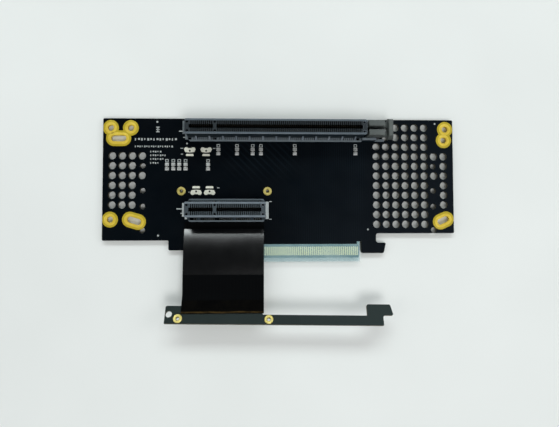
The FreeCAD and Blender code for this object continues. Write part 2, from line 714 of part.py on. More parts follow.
class Path:
    """A run of tangent lines and arcs in the YZ plane, with bands offset from it."""

    def __init__(self, y, z, heading):
        self.y, self.z, self.heading = y, z, heading
        self.parts = []

    def normal(self, heading):
        return -math.sin(heading), math.cos(heading)

    def line(self, length):
        start = (self.y, self.z, self.heading)
        self.y += length * math.cos(self.heading)
        self.z += length * math.sin(self.heading)
        self.parts.append((start, (self.y, self.z, self.heading), None))

    def arc(self, radius, turn):
        """Turn by a signed angle; positive is anticlockwise in the (y, z) plane."""
        sign = 1 if turn > 0 else -1
        ny, nz = self.normal(self.heading)
        cy, cz = self.y + sign * radius * ny, self.z + sign * radius * nz
        start = (self.y, self.z, self.heading)
        middle_heading = self.heading + turn / 2
        my, mz = self.normal(middle_heading)
        middle = (cy - sign * radius * my, cz - sign * radius * mz, middle_heading)
        self.heading += turn
        ey, ez = self.normal(self.heading)
        self.y, self.z = cy - sign * radius * ey, cz - sign * radius * ez
        self.parts.append((start, (self.y, self.z, self.heading), middle))

    def offset_edges(self, distance, x):
        edges = []
        for start, end, middle in self.parts:
            points = []
            for place in (start, middle, end):
                if place is not None:
                    ny, nz = self.normal(place[2])
                    points.append(V(x, place[0] + distance * ny, place[1] + distance * nz))
            if middle is None:
                edges.append(Part.makeLine(points[0], points[1]))
            else:
                edges.append(Part.Arc(points[0], points[1], points[2]).toShape())
        return edges

    def band(self, low, high, x0, x1):
        """Solid between two offsets of the path, from x0 to x1."""
        lower = self.offset_edges(low, x0)
        upper = self.offset_edges(high, x0)
        ends = [
            Part.makeLine(lower[0].Vertexes[0].Point, upper[0].Vertexes[0].Point),
            Part.makeLine(lower[-1].Vertexes[-1].Point, upper[-1].Vertexes[-1].Point),
        ]
        wire = Part.Wire(Part.__sortEdges__(lower + upper + ends))
        return Part.Face(wire).extrude(V(x1 - x0, 0, 0))


def ribbon_path():
    """Underside of the ribbon, from the main board to the root of the card's tongue.

    It is flat on its bond, climbs at RIBBON_RISE, eases to RIBBON_MID, and turns up to the card's
    tilt just before the card's finger edge. The two straight lengths close the path.
    """
    rise, mid, tilt = (math.radians(a) for a in (RIBBON_RISE, RIBBON_MID, CARD_TILT))
    gap = BOND_THICK
    end_y = CARD_Y + RIBBON_LEAD * math.cos(tilt) + gap * math.sin(tilt)
    end_z = CARD_Z - RIBBON_LEAD * math.sin(tilt) + gap * math.cos(tilt)
    run = RIBBON_START - RIBBON_BOND - end_y
    climb = end_z - (TOP + gap)
    run -= RIBBON_R1 * math.sin(rise)
    climb -= RIBBON_R1 * (1 - math.cos(rise))
    run -= RIBBON_R2 * (math.sin(rise) - math.sin(mid))
    climb -= RIBBON_R2 * (math.cos(mid) - math.cos(rise))
    run -= RIBBON_R3 * (math.sin(tilt) - math.sin(mid))
    climb -= RIBBON_R3 * (math.cos(mid) - math.cos(tilt))
    # run = a cos(rise) + b cos(mid), climb = a sin(rise) + b sin(mid)
    determinant = math.cos(rise) * math.sin(mid) - math.sin(rise) * math.cos(mid)
    steep = (run * math.sin(mid) - climb * math.cos(mid)) / determinant
    shallow = (math.cos(rise) * climb - math.sin(rise) * run) / determinant
    path = Path(RIBBON_START, TOP + gap, math.pi)
    path.line(RIBBON_BOND)
    path.arc(RIBBON_R1, -rise)
    path.line(steep)
    path.arc(RIBBON_R2, rise - mid)
    path.line(shallow)
    path.arc(RIBBON_R3, -(tilt - mid))
    path.line(RIBBON_LEAD + CARD_ROOT - 0.2)
    print("ribbon straights", round(steep, 2), round(shallow, 2))
    return path


def edge_cover():
    """Channel of clear film over the x16 tongue, closed below and at the right end."""
    face = TOP + COPPER + COVER_GAP
    outer = face + COVER_WALL
    section = [
        (COVER_HIGH, face),
        (COVER_HIGH, outer),
        (COVER_LOW, outer),
        (COVER_LOW, -outer),
        (COVER_HIGH, -outer),
        (COVER_HIGH, -face),
        (-COVER_GAP, -face),
        (-COVER_GAP, face),
    ]
    right = X16_TONGUE_RIGHT + COVER_GAP
    channel = bar(section, -TONGUE_LEFT - COVER_SIDE, right)
    end = box(right, right + COVER_SIDE, COVER_LOW, COVER_HIGH, -outer, outer)
    return channel.fuse(end).removeSplitter()


# ---------------------------------------------------------------- small parts
def chips():
    """Chip capacitors lying along Y."""
    half_width, half_length = CHIP_WIDTH / 2, CHIP_LENGTH / 2
    pieces = []
    for drop, places in CHIP_ROWS:
        y = SLOT_X16_Y - drop
        for x in places:
            sides = (x - half_width, x + half_width, y - half_length, y + half_length)
            pieces.append(box(*sides, TOP, TOP + CHIP_HEIGHT))
    return Part.makeCompound(pieces)


def power_lands():
    """Bare tinned lands of unfitted power parts: a wide land and a slim one."""
    pieces = []
    rows = [(x, SLOT_X16_Y - UPPER_LANDS_DROP, -1) for x in UPPER_LANDS_X]
    rows += [(x, SLOT_X4_Y + LOWER_LANDS_RISE, 1) for x in LOWER_LANDS_X]
    for x, y, way in rows:
        for (width, depth), centre in ((LAND_WIDE, y), (LAND_SLIM, y + way * LAND_SPACING)):
            sides = (x - width / 2, x + width / 2, centre - depth / 2, centre + depth / 2)
            pieces.append(box(*sides, TOP, TOP + COPPER))
    return Part.makeCompound(pieces)


# ---------------------------------------------------------------- nodes
def build_boards():
    save("main_board", main_board())
    save("mounting_lands_front", mounting_lands(TOP, TOP + COPPER))
    save("mounting_lands_back", mounting_lands(BACK - COPPER, BACK))
    save("edge_contacts_front", finger_row(X16_TONGUE_RIGHT, TOP))
    save("edge_contacts_back", finger_row(X16_TONGUE_RIGHT, BACK - COPPER))
    save("board_inserts", Part.makeCompound(board_inserts()))
    save("edge_cover", edge_cover())


def build_connectors():
    x16 = housing(SLOT_X16_Y, X16_SLOT_RIGHT, [])
    x16 = x16.fuse(cradle(SLOT_X16_Y) + pegs((0, X16_SLOT_RIGHT), SLOT_X16_Y)).removeSplitter()
    save("x16_housing", x16)
    save("x16_contacts", contact_rows(SLOT_X16_Y, X16_SLOT_RIGHT))
    save("x16_hold_down", hold_down(-SLOT_LEFT - END_WALL, SLOT_X16_Y, -1))
    save("retention_latch", latch(SLOT_X16_Y))
    x4 = housing(SLOT_X4_Y, X4_SLOT_RIGHT, ledge_windows(X4_SLOT_RIGHT))
    x4 = x4.fuse(pegs((0, X4_SLOT_RIGHT), SLOT_X4_Y)).removeSplitter()
    save("x4_housing", x4)
    save("x4_contacts", contact_rows(SLOT_X4_Y, X4_SLOT_RIGHT))
    save("x4_hold_down_left", hold_down(-SLOT_LEFT - END_WALL, SLOT_X4_Y, -1))
    save("x4_hold_down_right", hold_down(X4_SLOT_RIGHT + END_WALL, SLOT_X4_Y, 1))


def build_card():
    save("edge_card", to_card(edge_card()))
    save("card_contacts_back", to_card(finger_row(X4_TONGUE_RIGHT, BACK - COPPER)))
    save("card_inserts", to_card(Part.makeCompound(card_inserts())))
    left = RIBBON_CENTRE - RIBBON_WIDTH / 2
    right = RIBBON_CENTRE + RIBBON_WIDTH / 2
    path = ribbon_path()
    save("flex_ribbon", path.band(0, -RIBBON_THICK, left, right))
    last = Path(path.parts[-1][1][0], path.parts[-1][1][1], path.parts[-1][1][2] + math.pi)
    last.line(TAPE_LENGTH)
    save("ribbon_tape", last.band(RIBBON_THICK, RIBBON_THICK + TAPE_THICK, left, right))
    bond = box(left, right, RIBBON_START - RIBBON_BOND, RIBBON_START, TOP, TOP + BOND_THICK)
    low, high = CARD_ROOT - CARD_BOND[0], CARD_ROOT - CARD_BOND[1]
    card_bond = tilt_to_card(box(left - CARD_X, right - CARD_X, -low, -high, 0, BOND_THICK))
    save("ribbon_bonds", Part.makeCompound([bond, card_bond]))


def build_small_parts():
    save("chip_capacitors", chips())
    save("power_lands", power_lands())


build_boards()
build_connectors()
build_card()
build_small_parts()
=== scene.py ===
"""Dresses the PCI Express riser card: looks, small detail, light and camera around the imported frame."""
import math

import bmesh
import bpy
from mathutils import Matrix, Vector


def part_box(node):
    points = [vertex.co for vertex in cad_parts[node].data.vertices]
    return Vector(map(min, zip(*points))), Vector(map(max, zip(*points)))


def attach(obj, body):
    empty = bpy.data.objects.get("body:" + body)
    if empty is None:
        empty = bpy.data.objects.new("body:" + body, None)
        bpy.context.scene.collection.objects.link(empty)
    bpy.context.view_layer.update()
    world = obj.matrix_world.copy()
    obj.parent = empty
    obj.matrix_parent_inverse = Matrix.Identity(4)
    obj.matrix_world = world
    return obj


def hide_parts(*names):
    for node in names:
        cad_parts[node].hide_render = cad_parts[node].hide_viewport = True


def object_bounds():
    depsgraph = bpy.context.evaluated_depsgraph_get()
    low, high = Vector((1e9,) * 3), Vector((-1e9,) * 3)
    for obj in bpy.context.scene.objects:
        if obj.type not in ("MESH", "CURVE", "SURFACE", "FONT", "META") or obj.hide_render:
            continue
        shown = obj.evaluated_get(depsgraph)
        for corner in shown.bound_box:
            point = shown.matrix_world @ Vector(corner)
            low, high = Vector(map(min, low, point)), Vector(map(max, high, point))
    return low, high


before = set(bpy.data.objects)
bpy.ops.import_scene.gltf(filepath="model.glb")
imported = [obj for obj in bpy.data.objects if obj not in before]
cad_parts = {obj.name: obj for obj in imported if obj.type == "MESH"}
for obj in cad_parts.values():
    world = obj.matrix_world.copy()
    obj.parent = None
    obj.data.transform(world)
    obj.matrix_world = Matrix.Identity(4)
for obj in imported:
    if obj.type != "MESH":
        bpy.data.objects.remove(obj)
CAD_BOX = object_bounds()
MM = 0.001

# ---------------------------------------------------------------- places read from the frame
BOARD_LOW, BOARD_HIGH = [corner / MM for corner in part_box("main_board")]
TOP, BACK = BOARD_HIGH.z, BOARD_LOW.z
X16_LOW, X16_HIGH = [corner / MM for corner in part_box("x16_contacts")]
X4_LOW, X4_HIGH = [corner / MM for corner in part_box("x4_contacts")]
X16_Y = (X16_LOW.y + X16_HIGH.y) / 2
X4_Y = (X4_LOW.y + X4_HIGH.y) / 2
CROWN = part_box("x4_housing")[1].z / MM
RIBBON_LOW, RIBBON_HIGH = [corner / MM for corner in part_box("flex_ribbon")]
FLOOR = CAD_BOX[0].z

# card pose: key and finger edge of its upper face
CARD_AT = Vector((0.7, -19.3, 7.2))
CARD_TILT = math.radians(24.6)
CARD_SKEW = math.radians(-1.0)
CARD = (Matrix.Translation(CARD_AT * MM) @ Matrix.Rotation(-CARD_TILT, 4, "X")
        @ Matrix.Rotation(CARD_SKEW, 4, "Z") @ Matrix.Translation((0, 0, -TOP * MM)))


def solids_of(node):
    """Lowest and highest corner of each loose solid of a CAD node, in millimetres."""
    bm = bmesh.new()
    bm.from_mesh(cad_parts[node].data)
    bmesh.ops.remove_doubles(bm, verts=bm.verts, dist=0.002 * MM)
    unseen, boxes = set(bm.verts), []
    while unseen:
        group = [unseen.pop()]
        for vert in group:
            for edge in vert.link_edges:
                other = edge.other_vert(vert)
                if other in unseen:
                    unseen.discard(other)
                    group.append(other)
        corners = [[pick(v.co[k] for v in group) / MM for k in range(3)] for pick in (min, max)]
        boxes.append([Vector(corner) for corner in corners])
    bm.free()
    return sorted(boxes, key=lambda box: tuple(round(c, 2) for c in box[0]))


# ---------------------------------------------------------------- outlines, in millimetres
def circle(x, y, radius, count):
    """A circle of straight sides."""
    turns = [2 * math.pi * n / count for n in range(count)]
    return [(x + radius * math.cos(turn), y + radius * math.sin(turn)) for turn in turns]


def stadium(x0, y0, x1, y1, radius, count):
    """The outline at a radius round the line between two centres, which may be the same one."""
    along = math.atan2(y1 - y0, x1 - x0)
    points = []
    for n in range(count):
        angle = 2 * math.pi * (n + 0.5) / count
        x, y = (x0, y0) if count / 4 <= n < count * 3 / 4 else (x1, y1)
        points.append((x + radius * math.cos(along + angle), y + radius * math.sin(along + angle)))
    return points


def rectangle(x0, x1, y0, y1):
    """The four corners between two places along X and two along Y."""
    return [(x0, y0), (x1, y0), (x1, y1), (x0, y1)]


def rounded(points, radius, steps=5):
    """A closed outline with its corners rounded; a point's third number is its own radius."""
    result = []
    count = len(points)
    for n in range(count):
        here = points[n]
        r = here[2] if len(here) > 2 else radius
        p = Vector(here[:2])
        a = Vector(points[n - 1][:2]) - p
        b = Vector(points[(n + 1) % count][:2]) - p
        angle = a.angle(b)
        if r <= 0 or abs(angle - math.pi) < 1e-3:
            result.append(tuple(p))
            continue
        reach = min(r / math.tan(angle / 2), a.length * 0.48, b.length * 0.48)
        real = reach * math.tan(angle / 2)
        start, end = p + a.normalized() * reach, p + b.normalized() * reach
        centre = p + (a.normalized() + b.normalized()).normalized() * (real / math.sin(angle / 2))
        s, e = start - centre, end - centre
        turn = s.angle_signed(e)
        for k in range(steps + 1):
            rot = Matrix.Rotation(-turn * k / steps, 2)
            result.append(tuple(centre + rot @ s))
    return result


# ---------------------------------------------------------------- meshes
def link(name, mesh):
    """A new object in the scene."""
    obj = bpy.data.objects.new(name, mesh)
    bpy.context.scene.collection.objects.link(obj)
    return obj


def evaluated_mesh(obj):
    """The mesh of an object once its modifiers or curve settings have run."""
    bpy.context.view_layer.update()
    return bpy.data.meshes.new_from_object(obj.evaluated_get(bpy.context.evaluated_depsgraph_get()))


def cut_sheet(name, loops, z0, z1, bevel=0.0):
    """A plate between two heights from closed outlines; the inner ones are holes."""
    curve = bpy.data.curves.new(name, "CURVE")
    curve.dimensions = "2D"
    curve.fill_mode = "BOTH"
    curve.extrude = (z1 - z0) / 2 * MM - bevel * MM
    curve.bevel_depth = bevel * MM
    curve.bevel_resolution = 1
    curve.offset = -bevel * MM
    for loop in loops:
        spline = curve.splines.new("POLY")
        spline.points.add(len(loop) - 1)
        for point, (x, y) in zip(spline.points, loop):
            point.co = (x * MM, y * MM, 0, 1)
        spline.use_cyclic_u = True
    temporary = link(name + "_curve", curve)
    mesh = evaluated_mesh(temporary)
    bpy.data.objects.remove(temporary)
    mesh.transform(Matrix.Translation((0, 0, (z0 + z1) / 2 * MM)))
    weld(mesh)
    mesh.name = name
    return link(name, mesh)


def weld(mesh):
    """Join the points that a filled curve leaves double and turn the faces outwards."""
    bm = bmesh.new()
    bm.from_mesh(mesh)
    bmesh.ops.remove_doubles(bm, verts=bm.verts, dist=0.0005 * MM)
    bmesh.ops.recalc_face_normals(bm, faces=bm.faces)
    bm.to_mesh(mesh)
    bm.free()


def add_prism(bm, section, start, end, axis, bevel=0.0, index=0):
    """A bar with a closed section, extruded along an axis ("x", "y" or "z") between two places."""
    order = {
        "x": lambda u, v, w: (w, u, v),
        "y": lambda u, v, w: (u, w, v),
        "z": lambda u, v, w: (u, v, w),
    }[axis]
    rings = [[bm.verts.new(Vector(order(u, v, w)) * MM) for u, v in section] for w in (start, end)]
    faces = [bm.faces.new(rings[0]), bm.faces.new(rings[1])]
    for n in range(len(section)):
        m = (n + 1) % len(section)
        faces.append(bm.faces.new((rings[0][n], rings[0][m], rings[1][m], rings[1][n])))
    for face in faces:
        face.material_index = index
    bmesh.ops.recalc_face_normals(bm, faces=faces)
    if bevel:
        edges = list(dict.fromkeys(e for f in faces for e in f.edges))
        bmesh.ops.bevel(bm, geom=edges, offset=bevel * MM, segments=1, affect="EDGES", profile=0.5)


def add_box(bm, x0, x1, y0, y1, z0, z1, bevel=0.0, index=0):
    """A block between two places along each axis."""
    add_prism(bm, rectangle(x0, x1, y0, y1), z0, z1, "z", bevel, index)


def add_lathe(bm, profile, matrix, count):
    """A turned closed ring: profile is (radius, height) pairs in millimetres."""
    rings = []
    for n in range(count):
        a = 2 * math.pi * n / count
        ring = [Vector((r * math.cos(a), r * math.sin(a), z)) * MM for r, z in profile]
        rings.append([bm.verts.new(matrix @ place) for place in ring])
    for n in range(count):
        m = (n + 1) % count
        for k in range(len(profile)):
            j = (k + 1) % len(profile)
            face = bm.faces.new((rings[n][k], rings[m][k], rings[m][j], rings[n][j]))
            face.smooth = True


def from_bmesh(name, bm):
    """An object from a bmesh, which is used up."""
    bmesh.ops.recalc_face_normals(bm, faces=bm.faces)
    mesh = bpy.data.meshes.new(name)
    bm.to_mesh(mesh)
    bm.free()
    return link(name, mesh)


def join(name, objects):
    """One object from several, with each one's materials kept."""
    bm = bmesh.new()
    materials = []
    for obj in objects:
        first = len(bm.faces)
        bm.from_mesh(obj.data)
        bm.faces.ensure_lookup_table()
        places = []
        for material in obj.data.materials:
            if material not in materials:
                materials.append(material)
            places.append(materials.index(material))
        if places:
            for face in bm.faces[first:]:
                face.material_index = places[min(face.material_index, len(places) - 1)]
        bpy.data.objects.remove(obj)
    mesh = bpy.data.meshes.new(name)
    bm.to_mesh(mesh)
    bm.free()
    for material in materials:
        mesh.materials.append(material)
    return link(name, mesh)


def modified(obj, kind, **settings):
    """The same object with a modifier applied."""
    added = obj.modifiers.new(kind.lower(), kind)
    for key, value in settings.items():
        setattr(added, key, value)
    mesh = evaluated_mesh(obj)
    obj.modifiers.clear()
    obj.data = mesh
    return obj


def bevelled(obj, width, segments=2):
    """The same object with its sharp edges rounded."""
    return modified(obj, "BEVEL", width=width * MM, segments=segments, limit_method="ANGLE",
                    angle_limit=math.radians(30), harden_normals=False)


def copy_of(node, name):
    """A welded copy of a CAD node with its flat faces merged, ready for bevels."""
    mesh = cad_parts[node].data.copy()
    mesh.name = name
    bm = bmesh.new()
    bm.from_mesh(mesh)
    bmesh.ops.remove_doubles(bm, verts=bm.verts, dist=0.002 * MM)
    bmesh.ops.dissolve_limit(bm, angle_limit=math.radians(1), verts=bm.verts, edges=bm.edges)
    bm.to_mesh(mesh)
    bm.free()
    mesh.materials.clear()
    return link(name, mesh)


def boolean(obj, other, operation):
    """One object joined with, cut by or kept inside another, which is used up."""
    modified(obj, "BOOLEAN", object=other, operation=operation, solver="EXACT")
    bpy.data.objects.remove(other)
    return obj


# ---------------------------------------------------------------- materials
def linear(red, green, blue):
    """Linear colour from display values 0 to 255."""
    shares = [(c, c / 255) for c in (red, green, blue)]
    return tuple(s / 12.92 if c <= 10 else ((s + 0.055) / 1.055) ** 2.4 for c, s in shares) + (1,)


def set_range(node, low, high, out_low, out_high):
    """Give a Map Range node the two ends of both its ranges."""
    ends = (("From Min", low), ("From Max", high), ("To Min", out_low), ("To Max", out_high))
    for key, number in ends:
        node.inputs[key].default_value = number


class Nodes:
    """A material being wired up, on the object's own coordinates."""

    def __init__(self, name):
        self.material = bpy.data.materials.new(name)
        self.material.use_nodes = True
        self.tree = self.material.node_tree
        self.shader = self.tree.nodes["Principled BSDF"]
        self.place = self.tree.nodes.new("ShaderNodeTexCoord").outputs["Object"]

    def new(self, kind, **settings):
        """A node of a kind, with its settings."""
        node = self.tree.nodes.new("ShaderNode" + kind)
        for key, value in settings.items():
            setattr(node, key, value)
        return node

    def link(self, a, b):
        """Wire an output to an input."""
        self.tree.links.new(a, b)

    def noise(self, scale, detail, rough=0.6):
        """Cloudy pattern, 0 to 1 about a half."""
        node = self.new("TexNoise")
        node.inputs["Scale"].default_value = scale
        node.inputs["Detail"].default_value = detail
        node.inputs["Roughness"].default_value = rough
        self.link(self.place, node.inputs["Vector"])
        return node.outputs["Fac"]

    def wave(self, scale, direction, distortion):
        """Even bands across a direction, 0 to 1."""
        node = self.new("TexWave", bands_direction=direction)
        node.inputs["Scale"].default_value = scale
        node.inputs["Distortion"].default_value = distortion
        self.link(self.place, node.inputs["Vector"])
        return node.outputs["Fac"]

    def spread(self, value, low, high, out_low=0.0, out_high=1.0):
        """A value's range, low to high, made into another one."""
        node = self.new("MapRange")
        set_range(node, low, high, out_low, out_high)
        self.link(value, node.inputs["Value"])
        return node.outputs["Result"]

    def math(self, operation, a, b=None):
        """A sum of numbers or outputs."""
        node = self.new("Math", operation=operation)
        for socket, value in zip(node.inputs, (a, b)):
            if value is None:
                continue
            if isinstance(value, (int, float)):
                socket.default_value = value
            else:
                self.link(value, socket)
        return node.outputs[0]

    def mix(self, factor, a, b):
        """Colour a at factor 0, colour b at factor 1."""
        node = self.new("Mix", data_type="RGBA")
        for name, value in (("Factor", factor), ("A", a), ("B", b)):
            socket = [s for s in node.inputs if s.name == name and s.enabled][0]
            if isinstance(value, (int, float, tuple)):
                socket.default_value = value
            else:
                self.link(value, socket)
        return [s for s in node.outputs if s.enabled][0]

    def axis(self, name):
        """Place along X, Y or Z, in metres."""
        if not hasattr(self, "axes"):
            self.axes = self.new("SeparateXYZ")
            self.link(self.place, self.axes.inputs[0])
        return self.axes.outputs[name]

    def bump(self, height, strength, distance):
        """Fine relief from a height; the distance is in millimetres."""
        node = self.new("Bump")
        node.inputs["Strength"].default_value = strength
        node.inputs["Distance"].default_value = distance * MM
        self.link(height, node.inputs["Height"])
        self.link(node.outputs["Normal"], self.shader.inputs["Normal"])

    def set(self, **values):
        """Give the shader its values or outputs, and hand the material over."""
        for key, value in values.items():
            socket = self.shader.inputs[key.replace("_", " ")]
            if isinstance(value, (int, float, tuple)):
                socket.default_value = value
            else:
                self.link(value, socket)
        return self.material


def plastic(name, dark, light, rough=0.42, scale=900, grain=0.25, specular=0.5):
    """Moulded plastic with a fine spark-eroded grain and slight shade changes."""
    n = Nodes(name)
    shade = n.noise(scale / 9, 5)
    colour = n.mix(n.spread(shade, 0.35, 0.7), linear(*dark), linear(*light))
    n.bump(n.noise(scale * 6, 3), grain, 0.01)
    rough_map = n.spread(n.noise(scale / 2, 4), 0.3, 0.7, rough - 0.06, rough + 0.08)
    return n.set(Base_Color=colour, Roughness=rough_map, Specular_IOR_Level=specular)


def metal(name, dark, light, rough, scale, grain, metallic):
    """Plated or bare metal with a mottled tone and slightly uneven gloss."""
    n = Nodes(name)
    shade = n.noise(scale, 5, 0.65)
    colour = n.mix(n.spread(shade, 0.3, 0.7), linear(*dark), linear(*light))
    n.bump(n.noise(scale * 12, 3), grain, 0.01)
    return n.set(Base_Color=colour, Metallic=metallic,
                 Roughness=n.spread(n.noise(scale * 3, 4), 0.3, 0.7, rough - 0.06, rough + 0.1))


def solder_mask(name, dark, light, trace, specular):
    """Black solder mask over copper: faint traces, a mottled tone, a soft gloss and a painted highlight
    that makes it lighter towards the right.
    """
    n = Nodes(name)
    tone = n.mix(n.spread(n.noise(22, 3), 0.3, 0.75), linear(*dark), linear(*light))
    x, y = n.axis("X"), n.axis("Y")
    # painted highlight: the mask is painted lighter towards the right, where the light falls on the board
    right = n.spread(n.math("ADD", x, n.math("MULTIPLY", y, -0.3)), 0.03, 0.11)
    tone = n.mix(right, tone, linear(*[c + 9 for c in light]))
    middle = n.math("MULTIPLY", n.spread(x, 0.024, 0.044), n.spread(x, 0.079, 0.074))
    middle = n.math("MULTIPLY", middle, n.spread(n.noise(30, 2), 0.35, 0.6, 0.3, 1.0))
    upright = n.math("MULTIPLY", n.spread(n.wave(280, "X", 0.1), 0.5, 0.95), middle)
    slant = n.math("MULTIPLY", n.spread(n.wave(165, "DIAGONAL", 0.1), 0.7, 0.95),
                   n.math("MULTIPLY", n.spread(x, 0.048, 0.034), n.spread(y, 0.036, 0.05)))
    slant = n.math("MULTIPLY", slant, n.spread(x, 0.0, 0.012))
    lines = n.math("MAXIMUM", n.math("MULTIPLY", upright, 0.5), n.math("MULTIPLY", slant, 0.35))
    tone = n.mix(lines, tone, linear(*trace))
    n.bump(n.math("ADD", n.noise(900, 3), lines), 0.12, 0.02)
    return n.set(Base_Color=tone, Roughness=n.spread(n.noise(120, 4), 0.3, 0.7, 0.36, 0.48),
                 Specular_IOR_Level=specular)


def slot_top(name, y, band, rim, floor, lip):
    """Upward faces of a slot: contact bands, lit rims, the ledge's sunk part and its lip."""
    n = Nodes(name)
    off = n.math("ABSOLUTE", n.math("SUBTRACT", n.axis("Y"), y * MM))
    tone = n.mix(n.spread(off, 0.00272, 0.00288), linear(*band), linear(*rim))
    tone = n.mix(n.spread(off, 0.00372, 0.0038), tone, linear(*floor))
    tone = n.mix(n.spread(off, 0.00488, 0.00502), tone, linear(*lip))
    worn = n.mix(n.spread(n.noise(240, 4), 0.35, 0.7), linear(28, 34, 40), linear(255, 255, 255))
    shade = n.new("Mix", data_type="RGBA", blend_type="MULTIPLY")
    sockets = [s for s in shade.inputs if s.enabled]
    sockets[0].default_value = 0.22
    n.link(tone, sockets[1])
    n.link(worn, sockets[2])
    n.bump(n.noise(4000, 3), 0.2, 0.01)
    colour = [s for s in shade.outputs if s.enabled][0]
    return n.set(Base_Color=colour, Roughness=0.5, Specular_IOR_Level=0.3)


def laminate():
    """Cut edge of the board, with its layers of glass fibre."""
    n = Nodes("laminate_edge")
    layers = n.wave(600, "Z", 1.0)
    tone = n.mix(n.spread(layers, 0.2, 0.8), linear(54, 52, 38), linear(96, 90, 66))
    n.bump(n.noise(1500, 4), 0.3, 0.02)
    return n.set(Base_Color=tone, Roughness=0.65)


SOLDER_MASK = solder_mask("solder_mask", (1, 4, 8), (3, 9, 15), (20, 30, 37), 0.05)
# painted sheen: the card's mask is painted lighter than the main board's, standing in for the reflection
# the tilted card shows
CARD_MASK_PAINTED_SHEEN = solder_mask("card_mask_painted_sheen", (26, 36, 35), (34, 44, 43), (40, 48, 48), 0.08)
LAMINATE = laminate()
GOLD = metal("gold_plate", (166, 146, 12), (188, 164, 22), 0.5, 180, 0.15, 0.2)
GOLD_RING = metal("gold_ring", (198, 170, 36), (224, 196, 72), 0.45, 180, 0.12, 0.2)
FINGER = metal("finger_gold", (240, 226, 150), (248, 238, 180), 0.45, 220, 0.1, 0.1)
X16_TOP = slot_top("x16_top", X16_Y, band=(34, 42, 47), rim=(84, 95, 103),
                   floor=(110, 120, 126), lip=(116, 127, 132))
# painted shade: the x4's sunk ledge floor is painted darker than the x16's, for the shadow on it
X4_TOP = slot_top("x4_top", X4_Y, band=(60, 70, 76), rim=(106, 117, 125),
                  floor=(44, 56, 63), lip=(106, 118, 124))
# copies of one housing plastic: the dark walls and the darker slot inside are painted shade, the light
# sloping edges a painted highlight
SHADED_SLOT_SIDE = plastic("slot_side_painted_shade", (12, 24, 31), (18, 32, 40), 0.55, specular=0.15)
SHADED_SLOT_INSIDE = plastic("slot_inside_painted_shade", (1, 2, 3), (3, 4, 6), 0.7, specular=0.05)
LIT_SLOT_EDGE = plastic("slot_edge_painted_highlight", (112, 122, 134), (134, 143, 152), 0.4)
# painted shade: the springs' metal is painted dark for the shade deep in the slot
SHADED_CONTACT = metal("contact_spring_painted_shade", (36, 36, 33), (66, 63, 50), 0.4, 500, 0.1, 0.5)
TAIL = metal("solder_tail", (52, 60, 64), (84, 92, 94), 0.4, 700, 0.1, 0.3)
CLIP = metal("clip_tin", (160, 170, 172), (200, 207, 207), 0.4, 300, 0.1, 0.35)
CLIP_DULL = metal("clip_dull", (84, 93, 98), (116, 124, 128), 0.45, 300, 0.1, 0.35)
LATCH = plastic("latch_plastic", (74, 80, 79), (92, 97, 95), 0.55, specular=0.3)
BRASS = metal("turned_brass", (176, 160, 74), (222, 208, 130), 0.35, 400, 0.1, 0.4)
# painted shade: the inserts' bore wall is painted dark for the shadow inside it
SHADED_BORE = plastic("bore_painted_shade", (52, 42, 12), (88, 76, 28), 0.6)
TIN = metal("tinned_land", (200, 203, 190), (228, 228, 214), 0.5, 500, 0.3, 0.1)
SILVER = metal("solder_silver", (160, 164, 164), (196, 198, 196), 0.5, 500, 0.3, 0.1)
CERAMIC = plastic("chip_ceramic", (104, 106, 104), (128, 129, 126), 0.5)
INK = plastic("white_ink", (146, 154, 154), (182, 186, 184), 0.7)


def dress(piece, materials, body, slot, *replaced):
    """Give a piece its materials and its body, and hide the nodes that it stands for; the record slot
    argument is not used.
    """
    if materials is not None:
        places = [polygon.material_index for polygon in piece.data.polygons]
        piece.data.materials.clear()
        for material in materials:
            piece.data.materials.append(material)
        piece.data.polygons.foreach_set("material_index", places)
    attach(piece, body)
    if replaced:
        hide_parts(*replaced)
    return piece


def face_slots(piece, pick):
    """Set each face's material index from its normal and centre."""
    for polygon in piece.data.polygons:
        polygon.material_index = pick(polygon.normal, polygon.center)


def smooth(piece, angle):
    """Smooth shading below an angle between faces, sharp edges kept."""
    mesh = piece.data
    mesh.polygons.foreach_set("use_smooth", [True] * len(mesh.polygons))
    bm = bmesh.new()
    bm.from_mesh(mesh)
    for edge in bm.edges:
        edge.smooth = not (len(edge.link_faces) != 2 or edge.calc_face_angle(0) > math.radians(angle))
    bm.to_mesh(mesh)
    bm.free()
    return piece


def smooth_walls(piece):
    """Smooth walls of the holes, flat faces above, below and on the bevels."""
    smooth(piece, 30)
    for polygon in piece.data.polygons:
        polygon.use_smooth = abs(polygon.normal.z) < 0.3
    return piece


# ---------------------------------------------------------------- main board
VENT_R, PITCH = 1.9, 5.0
LEFT_VENT_X, RIGHT_VENT_X, VENT_Y = -52.9, 81.8, 51.9
LOW_LEFT, LOW_RIGHT = 8.9, 12.3  # lower edge of the board, beside the tab and the hook
MOUNT_R, LAND_R = 1.6, 4.0
RING_R = LAND_R * 0.74
COPPER = 0.05  # plated copper above a board face
LAND_INSET_X, LAND_INSET_Y = 0.15, 0.2  # lands stop this far inside the board's outline
OVERSHOOT = 1  # cutters reach this far past what they cut
LOCATOR_R, PEG_HOLE_R, SHANK_R = 1.4, 1.23, 1.5
EDGE_SOFT = 0.04  # bevel of a board's cut edges
